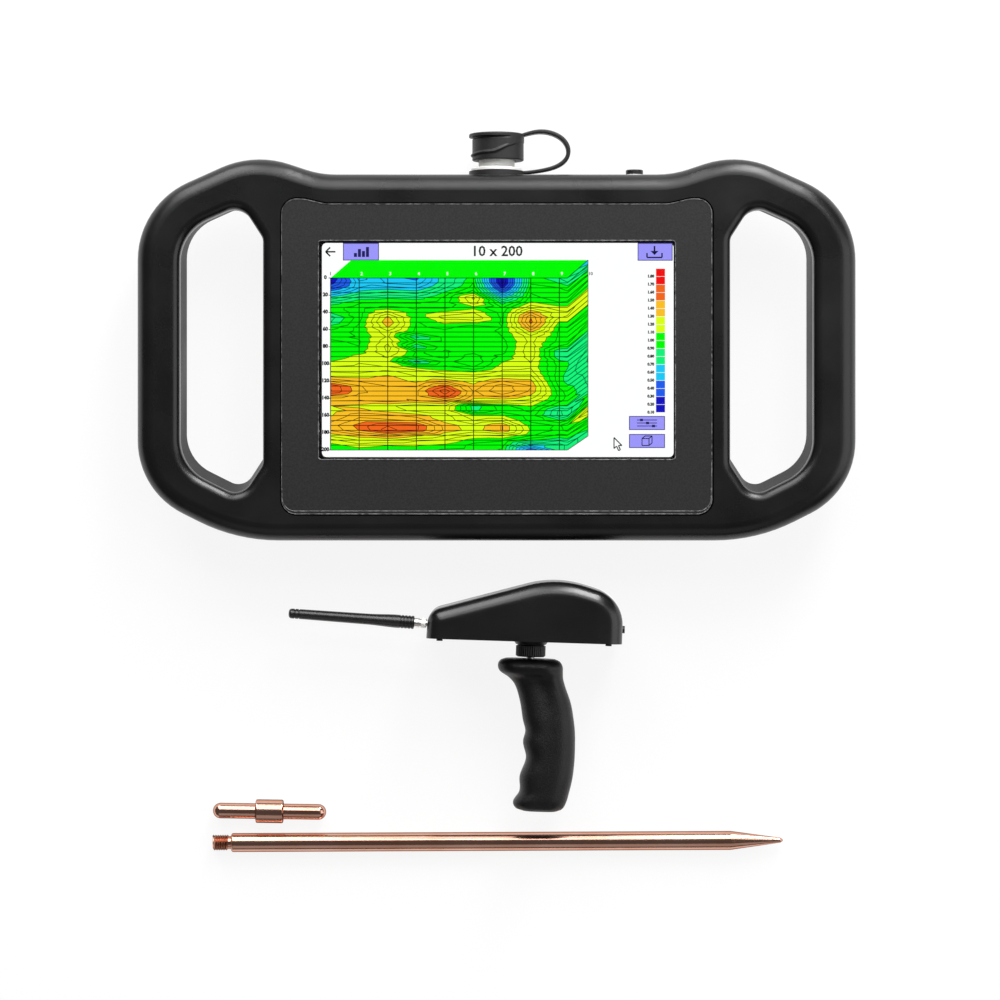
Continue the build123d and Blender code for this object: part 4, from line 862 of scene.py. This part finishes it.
UP = (0, 1, 0)
SOCKET_Z = 25.0
SOCKET_START, SOCKET_END = [corner[1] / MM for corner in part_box("socket_shell")]
RING_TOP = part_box("cap_ring")[1][1] / MM
SOCKET_BORE, SOCKET_NECK, SOCKET_FLANGE = 8.8, 10.0, 15.6
THREAD_CREST, THREAD_ROOT, THREAD_PITCH, THREAD_RIDGES = 11.15, 10.65, 1.1, 9
CAP_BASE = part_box("dust_cap")[0][1] / MM
CAP_STEPS = 144
CAP_HEIGHT, CAP_RADIUS, CAP_EDGE, CAP_LIP = 16.5, 17.1, 0.75, 0.35
CAP_BODY = (15.1, 16.8)
CAP_RIM = 14.0
FOLD_WIDTH, FLAP_PROUD, DENT_DEPTH, DENT_HEIGHT = 2.4, 0.65, 0.5, 1.1
# Levels of the cap's outer rings over its edge
CAP_LEVELS = [0.0, CAP_LIP] + [0.6 + 0.2 * step for step in range(76)] + [15.75, 16.1, 16.35, CAP_HEIGHT]
# The cap's inside from the middle of its roof down to its edge, and its dished top, as (radius, level)
CAP_INSIDE = ((0, 13.5), (11.45, 13.5), (11.45, 0.4), (11.85, 0))
CAP_DISH = ((9.0, CAP_HEIGHT), (8.6, 16.2), (0, 16.2))
# Lower edge of the cap's folded flap: height over the cap's edge, from its left side to its right
FLAP_EDGE = ((-1, 2.0), (-0.6, 3.0), (-0.06, 3.6), (0.4, 7.1), (0.86, 10.2), (1, 10.7))
# Strap: place in x and y, and its share of the full thickness
STRAP_PATH = (
    (16.6, 111.6, 0.85), (22, 112.0, 0.85), (30, 113.2, 0.9), (38.5, 115.6, 1.0), (44.2, 120.4, 1.1),
    (45.0, 126.6, 1.2), (41.6, 132.5, 1.2), (35.5, 136.0, 1.15), (28, 137.6, 1.1), (21.5, 136.6, 1.0),
    (15.6, 134.7, 0.9),
)
STRAP_SIZES = {"Width": 8 * MM, "Thickness": 2.25 * MM, "Edge": 0.7 * MM}


def socket_shell():
    """Barrel with a coned flange on the wall and a coarse thread that the cap grips."""
    start, flange, end = SOCKET_START, RING_TOP, SOCKET_END
    outline = [
        (start, SOCKET_BORE), (start, SOCKET_NECK - 0.4), (start + 0.6, SOCKET_NECK), (flange, SOCKET_NECK),
        (flange, SOCKET_FLANGE - 0.3), (flange + 0.3, SOCKET_FLANGE), (flange + 1.5, SOCKET_FLANGE),
        (flange + 1.8, SOCKET_FLANGE - 0.3), (flange + 2.9, 11.5), (flange + 3.1, THREAD_CREST),
    ]
    for ridge in range(THREAD_RIDGES):
        low = flange + 7.8 + THREAD_PITCH * ridge
        outline += [(low, THREAD_CREST), (low + 0.45, THREAD_ROOT)]
        outline += [(low + 0.6, THREAD_ROOT), (low + 1.05, THREAD_CREST)]
    outline += [
        (end - 0.6, THREAD_CREST), (end, 10.7), (end, 9.2), (end - 0.4, SOCKET_BORE), (start, SOCKET_BORE)
    ]
    mesh = turned("socket_turned_shell", outline, axis_frame((0, 0, SOCKET_Z), UP))
    piece(mesh, matt_nickel, "console", "socket_shell")


def cap_radius(level, turn):
    """Outer radius of the rubber cap: a rim over a dent, and a flap that folds up from left to right."""
    side = cos(turn)
    thin, thick = CAP_BODY
    body = thin + (thick - thin) * eased((side + 1) / 2)
    over = level - along(FLAP_EDGE, side)[0]
    fold = sin(pi * min(max(over / FOLD_WIDTH, 0), 1)) * (1 - eased((side - 0.3) / 0.4))
    flap = FLAP_PROUD * eased(over / 0.5) * eased((side - 0.1) / 0.5)
    rim = (CAP_RADIUS - body) * eased((level - CAP_RIM) / 0.4)
    dent = DENT_DEPTH * eased((level - CAP_RIM + DENT_HEIGHT) / 0.5) * (1 - eased((level - CAP_RIM) / 0.3))
    dent *= 1 - eased((side - 0.2) / 0.5)
    return min(body + max(fold, flap, rim) - dent, CAP_RADIUS)


def cap_ring(level, radii):
    """Points round the cap's axis at a level over its edge, one for each radius."""
    turns = [tau * step / len(radii) for step in range(len(radii))]
    return [(r * cos(turn), CAP_BASE + level, SOCKET_Z + r * sin(turn)) for r, turn in zip(radii, turns)]


def dust_cap():
    """One closed skin: down the inside, up the outside with its flap, and in over the dished top."""
    inside, dish = [
        [cap_ring(level, [radius] * (CAP_STEPS if radius else 1)) for radius, level in table]
        for table in (CAP_INSIDE, CAP_DISH)
    ]
    turns = [tau * step / CAP_STEPS for step in range(CAP_STEPS)]
    outside = []
    for level in CAP_LEVELS:
        drop = max(level - CAP_HEIGHT + CAP_EDGE, 0)
        pull = CAP_EDGE - sqrt(CAP_EDGE ** 2 - drop ** 2) if level > CAP_LIP else CAP_LIP - level
        outside.append(cap_ring(level, [cap_radius(level, turn) - pull for turn in turns]))
    mesh = lofted("dust_cap_banded", inside + outside + dish, Matrix(), 50)
    piece(mesh, cap_rubber, "dust_cap", "dust_cap")


def cap_strap():
    """A loop from the ring to the cap, in the way that a limp moulded strap falls."""
    data = bpy.data.curves.new("strap_path", "CURVE")
    data.dimensions = "3D"
    line = data.splines.new("NURBS")
    line.points.add(len(STRAP_PATH) - 1)
    for point, (x, y, share) in zip(line.points, STRAP_PATH):
        point.co = (x * MM, y * MM, SOCKET_Z * MM, 1)
        point.radius = share
    line.order_u = 4
    line.use_endpoint_u = True
    line.resolution_u = 10
    mesh = grown("cap_loop_strap", rubber_strap, STRAP_SIZES, Matrix(), data)
    strap = piece(mesh, cap_rubber, None, "cap_strap")
    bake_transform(strap)


def button_bush():
    """Bright turned ring round the push button, with a low flange on the wall."""
    low, high = [corner[1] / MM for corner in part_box("button_bush")]
    middle = sum(corner[0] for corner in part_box("button_bush")) / 2 / MM
    wall, top = high - 3.0, high - 1.3
    bore, barrel, flange = 5.65, 6.3, 7.0
    outline = [
        (low, bore), (low, barrel - 0.2), (low + 0.3, barrel), (wall, barrel), (wall, flange),
        (top - 0.4, flange), (top, flange - 0.4), (top, bore + 0.2), (top - 0.2, bore), (low, bore),
    ]
    mesh = turned("button_bush_turned", outline, axis_frame((middle, 0, SOCKET_Z), UP), 64)
    piece(mesh, bush_metal, "console", "button_bush")


socket_shell()
button_bush()
dust_cap()
cap_strap()


# Probe: ribbed collar, antenna with its coupling and grooves, and the grip

PROBE = Matrix.Translation(Vector((21.3, -177.8, 31)) * MM) @ Matrix.Rotation(radians(-1.8), 4, "Z")
ANTENNA_WAY = (-cos(radians(2.4)), sin(radians(2.4)), 0)
ANTENNA = PROBE @ axis_frame((-64.06, 8.1, 0), ANTENNA_WAY)
WHIP_BASE, WHIP_END = 8.6, 86.4


def lock_collar():
    """A ring on the stud, with ribs for the fingers all round."""
    low, high, bore, radius = -10.4, -3.1, 2.6, 8.7
    core = [
        (low, bore), (low, radius - 0.5), (low + 0.5, radius), (high - 0.5, radius), (high, radius - 0.5),
        (high, bore), (low, bore),
    ]
    mesh = turned("collar_core", core, PROBE @ axis_frame((0, 0, 0), UP), 72)
    piece(mesh, collar_plastic, "lock_collar", "lock_collar")
    sizes = {"Count": 40, "Circle": 8.72 * MM, "Rib Radius": 0.46 * MM, "Rib Length": 6.2 * MM}
    ribs = grown("collar_ribs", collar_ribs, sizes, PROBE @ axis_frame((0, (low + high) / 2, 0), UP))
    piece(ribs, collar_plastic, "lock_collar", None)


def antenna_coupling():
    """A turned nut on the jack: a knurled ring, a groove and a plain ring."""
    bore, ring, waist = 2.3, 2.95, 2.55
    outline = [
        (1.0, bore), (1.0, 2.6), (1.3, ring), (4.2, ring), (4.5, waist), (5.1, waist), (5.4, ring),
        (8.3, ring), (WHIP_BASE, 2.7), (WHIP_BASE, 0), (6.6, 0), (6.6, bore), (1.0, bore),
    ]
    mesh = turned("coupling_turned", outline, ANTENNA, 48)
    piece(mesh, nickel, "antenna", "antenna_connector")
    sizes = {"Count": 30, "Circle": 2.85 * MM, "Rib Radius": 0.16 * MM, "Rib Length": 2.6 * MM}
    knurl = grown("coupling_knurl", knurl_ribs, sizes, ANTENNA @ Matrix.Translation((0, 0, 2.75 * MM)))
    piece(knurl, nickel, "antenna", None)


def groove(middle, radius, half=0.45, depth=0.4):
    """Outline of a moulded groove round the whip."""
    floor = half * 0.4
    return [
        (middle - half, radius), (middle - floor, radius - depth), (middle + floor, radius - depth),
        (middle + half, radius),
    ]


def antenna_whip():
    """A rubber sheath: a thick foot with four grooves, a soft taper, and a round tip with two grooves."""
    base, end = WHIP_BASE, WHIP_END
    thick, middle, thin = 4.1, 3.4, 3.1
    foot, taper = base + 11, 18
    wire, wire_end, tip = 0.85, end - 5.9, 2.1
    outline = [(base, wire), (base, thick - 0.35), (base + 0.4, thick)]
    for step in range(4):
        outline += groove(base + 1.9 + 2.1 * step, thick)
    for step in range(13):
        outline.append((foot + taper * step / 12, thick - (thick - middle) * eased(step / 12)))
    for step in range(1, 8):
        outline.append((foot + taper + 5.5 * step, middle - (middle - thin) * step / 7))
    outline += groove(end - 6.4, thin) + groove(end - 3.9, thin)
    for step in range(9):
        angle = pi / 2 * step / 8
        outline.append((end - tip + tip * sin(angle), thin * cos(angle) ** 0.6 if step < 8 else 0))
    outline += [(wire_end, 0), (wire_end, wire), (base, wire)]
    mesh = turned("antenna_whip", outline, ANTENNA, 64)
    piece(mesh, whip_rubber, "antenna", "antenna_sheath")


# Grip, in the probe's own frame. Each row: distance under the top, front, back, and how far its sides draw in
GRIP_TOP = -11.7
GRIP_THICKNESS = 30.0
GRIP_ROUND = 12.0
GRIP_FORM = (
    (0.0, -15.5, 15.3, 4.0), (1.12, -18.4, 18.0, 1.6), (4.02, -20.0, 20.0, 0.0), (7.96, -18.6, 20.3, 0.0),
    (11.7, -13.0, 20.6, 0.0), (16.38, -9.0, 22.0, 0.5), (26.68, -5.6, 25.8, 0.5), (37.44, -3.6, 28.0, 0.0),
    (44.46, -1.8, 28.9, 0.0), (51.48, -3.0, 29.2, 0.0), (61.31, -0.9, 29.2, 0.0), (72.54, -4.4, 28.3, 0.0),
    (81.9, -4.3, 26.4, 0.0), (88.45, -8.0, 24.6, 0.3), (92.2, -6.2, 22.3, 2.2), (93.6, -2.0, 19.0, 5.0),
)
# Hollow of the sides under the top flange
GRIP_HOLLOW = (
    (0.0, 0.0), (7.6, 0.0), (11.3, 2.9), (14.0, 3.1), (28.0, 1.8), (50.0, 0.5), (70.0, 0.0), (93.6, 0.0)
)
# Rings of the skin under the top, closest where it is round
GRIP_LEVELS = [0, 0.25, 0.6, 1.1, 1.7, 2.4, 3.2] + [4 + 0.4 * step for step in range(28)]
GRIP_LEVELS += [15.2 + 1.2 * step for step in range(60)] + [86.4 + 0.4 * step for step in range(19)]
# Room for the stiff core: distance under the top, and how far it lies towards the back
GRIP_CORE = ((80.6, 10.5), (8.0, 0.0), (0.0, 0.0))
# Width, thickness and corner of that room
CORE_ROOM = (12.2, 14.2, 0.3)


def round_box(width, thickness, corner, arc=8, side=8):
    """Points round a box with round corners, as (across, deep), the same count for every size."""
    corners = []
    for right, deep, start in ((1, 1, 0), (-1, 1, 90), (-1, -1, 180), (1, -1, 270)):
        middle = (right * (width / 2 - corner), deep * (thickness / 2 - corner))
        corners.append(quarter(middle, corner, start, arc))
    points = []
    for now, following in zip(corners, corners[1:] + corners[:1]):
        start, end = Vector(now[-1]), Vector(following[0])
        points += now + [tuple(start.lerp(end, step / side)) for step in range(1, side)]
    return points


def grip_ring(level):
    """Points round the grip at a level under its top, with the front of its sides hollowed."""
    front, back, inset = along(GRIP_FORM, level)
    hollow = along(GRIP_HOLLOW, level)[0]
    ring = []
    for across, deep in round_box(back - front, GRIP_THICKNESS - 2 * inset, GRIP_ROUND - inset):
        share = across / (back - front) + 0.5
        keep = 1 - hollow * (1 - eased((share - 0.5) / 0.45)) / (GRIP_THICKNESS / 2)
        ring.append((across + (front + back) / 2, GRIP_TOP - level, deep * keep))
    return ring


def grip_moulding():
    """One closed skin: up through the room for the core, over the top and down to the butt."""
    low, shift = GRIP_CORE[0]
    rings = [[(shift, GRIP_TOP - low, 0)]]
    rings += [[(x + shift, GRIP_TOP - low, z) for x, z in round_box(*CORE_ROOM)] for low, shift in GRIP_CORE]
    rings += [grip_ring(level) for level in GRIP_LEVELS]
    _, front, back, _ = GRIP_FORM[-1]
    rings.append([((front + back) / 2, GRIP_TOP - GRIP_LEVELS[-1], 0)])
    piece(lofted("grip_moulding", rings, PROBE, 50), grip_rubber, "grip", "grip_sleeve")


lock_collar()
antenna_coupling()
antenna_whip()
grip_moulding()


# Copper electrode and its crossbar

ROD_WAY = (cos(radians(0.25)), sin(radians(0.25)), 0)
CROSSBAR_WAY = (cos(radians(0.8)), -sin(radians(0.8)), 0)
ROD_START = (-177.6, -305.9, 5.9)
ROD_RADIUS, ROD_CORE, ROD_SHOULDER, ROD_TAPER, ROD_END = 5.9, 4.05, 12.4, 324, 357
ROD_RUNS = 24
CROSSBAR_MIDDLE = (-142.1, -286.1, 7.35)
CROSSBAR_HALF, CROSSBAR_RADIUS, CROSSBAR_COLLAR = 35.4, 4.85, 7.35
TAP_RADIUS, TAP_MOUTH, TAP_DEPTH = 4.25, 4.65, 10.0


def electrode_rod():
    """A threaded end with its ridge, a round shoulder, the plain rod and a long point."""
    outline = [
        (0, 0), (0, 3.6), (0.5, ROD_CORE), (9.3, ROD_CORE), (9.6, 4.1), (11.4, 4.1), (11.5, 4.9), (11.8, 5.5),
        (ROD_SHOULDER, ROD_RADIUS),
    ]
    for step in range(1, ROD_RUNS + 1):
        outline.append((ROD_SHOULDER + (ROD_TAPER - ROD_SHOULDER) * step / ROD_RUNS, ROD_RADIUS))
    outline += [(ROD_TAPER + 0.6, 5.84), (ROD_END - 1.8, 1.55)]
    outline += [(ROD_END - 1.0, 1.1), (ROD_END - 0.4, 0.6), (ROD_END, 0)]
    place = axis_frame(ROD_START, ROD_WAY)
    piece(turned("rod_turned", outline, place), copper, "rod", "electrode_rod")
    sizes = {"Turns": 6.2, "Radius": ROD_CORE * MM, "Length": 9.0 * MM, "Ridge": 0.85 * MM}
    ridge = grown("rod_thread_ridge", copper_thread, sizes, place @ Matrix.Translation((0, 0, 0.35 * MM)))
    # The ridge's darker copper is painted shade of the thread's grooves
    piece(ridge, thread_copper_painted_shade, "rod", None)


def electrode_crossbar():
    """A bar with round ends and a thicker middle, tapped from below for the rod."""
    half, radius, collar = CROSSBAR_HALF, CROSSBAR_RADIUS, CROSSBAR_COLLAR
    angles = [pi / 2 * step / 8 for step in range(8)]
    dome = [(half - radius * (1 - sin(angle)), radius * cos(angle)) for angle in angles]
    right = [(half, 0)] + dome[::-1] + [
        (8.9, radius), (8.7, 5.1), (8.6, 5.5), (8.6, 6.5), (8.35, 7.1),
        (7.7, collar), (4.0, collar), (0.0, collar),
    ]
    outline = [(-x, r) for x, r in right] + right[::-1][1:]
    mesh = turned("crossbar_turned", outline, axis_frame(CROSSBAR_MIDDLE, CROSSBAR_WAY))
    hole = [(-2.0, 0), (-2.0, TAP_MOUTH), (0.0, TAP_MOUTH), (0.4, TAP_RADIUS)]
    hole += [(TAP_DEPTH - 0.8, TAP_RADIUS), (TAP_DEPTH, 0)]
    mouth = (*CROSSBAR_MIDDLE[:2], 0)
    mesh = bored(mesh, turned("crossbar_hole", hole, axis_frame(mouth, (0, 0, 1)), 48))
    piece(mesh, copper, "crossbar", "electrode_crossbar")


electrode_rod()
electrode_crossbar()


# Stage

TABLE_SIZE = 8
TABLE_DROP = 0.2 * MM
TABLE_INK, TABLE_LIFT = "#656565", 0.885
SKY_LEVEL = 0.09
AIM = Vector((0.0, -0.09, 0.03))
# Softboxes: azimuth and elevation in degrees, distance, width and height in metres, and power in watts
SOFTBOXES = {
    "left_softbox": (-25, 27, 2.3, (1.1, 1.7), 28),
    "right_softbox": (20, 27, 2.3, (0.65, 1.7), 52),
    "middle_panel": (0, 34, 2.3, (1.7, 2.2), 14),
    "overhead_strip": (5, 61, 2.95, (2.6, 0.6), 16),
    "right_panel": (90, 32, 2.1, (1.6, 2.0), 14),
    "near_panel": (180, 34, 2.6, (2.6, 1.6), 4),
}


def pale_table():
    """Plain matt table that keeps soft shadows, shown at white to the camera, in metal and through glass."""
    bpy.ops.mesh.primitive_plane_add(size=TABLE_SIZE, location=(0, 0, -TABLE_DROP))
    table = bpy.context.object
    table.name = "table_top"
    made = bpy.data.materials.new("table_matt_white")
    tree = fresh_tree(made)
    paint = add(tree, "ShaderNodeBsdfDiffuse", {"Color": linear(TABLE_INK)})
    path = add(tree, "ShaderNodeLightPath").outputs
    seen = path["Is Camera Ray"]
    for ray in ("Is Glossy Ray", "Is Transmission Ray"):
        seen = add(tree, "ShaderNodeMath", {0: seen, 1: path[ray]}, operation="ADD").outputs[0]
    lift = add(tree, "ShaderNodeMath", {0: seen, 1: TABLE_LIFT}, operation="MULTIPLY")
    glow = add(tree, "ShaderNodeEmission", {"Strength": lift.outputs[0]})
    both = add(tree, "ShaderNodeAddShader", {0: paint.outputs[0], 1: glow.outputs[0]})
    add(tree, "ShaderNodeOutputMaterial", {"Surface": both.outputs[0]})
    table.data.materials.append(made)


def soft_panel(name, azimuth, elevation, distance, size, power):
    """A softbox that faces the layout; azimuth 0 is beyond its top edge, 90 at its right."""
    data = bpy.data.lights.new(name, "AREA")
    data.shape = "RECTANGLE"
    data.size, data.size_y = size
    data.energy = power
    panel = bpy.data.objects.new(name, data)
    turn, climb = radians(azimuth), radians(elevation)
    way = Vector((sin(turn) * cos(climb), cos(turn) * cos(climb), sin(climb)))
    panel.location = AIM + way * distance
    panel.rotation_euler = (-way).to_track_quat("-Z", "Y").to_euler()
    panel.visible_camera = False
    scene.collection.objects.link(panel)


def studio_light():
    """A faint even sky and the softboxes."""
    scene.world = bpy.data.worlds.new("studio_world")
    tree = fresh_tree(scene.world)
    sky = add(tree, "ShaderNodeBackground", {"Color": linear("#ffffff"), "Strength": SKY_LEVEL})
    add(tree, "ShaderNodeOutputWorld", {"Surface": sky.outputs[0]})
    for name, panel in SOFTBOXES.items():
        soft_panel(name, *panel)


pale_table()
studio_light()


# Corners of a box, as lists

def corners(box):
    return [list(corner) for corner in box]
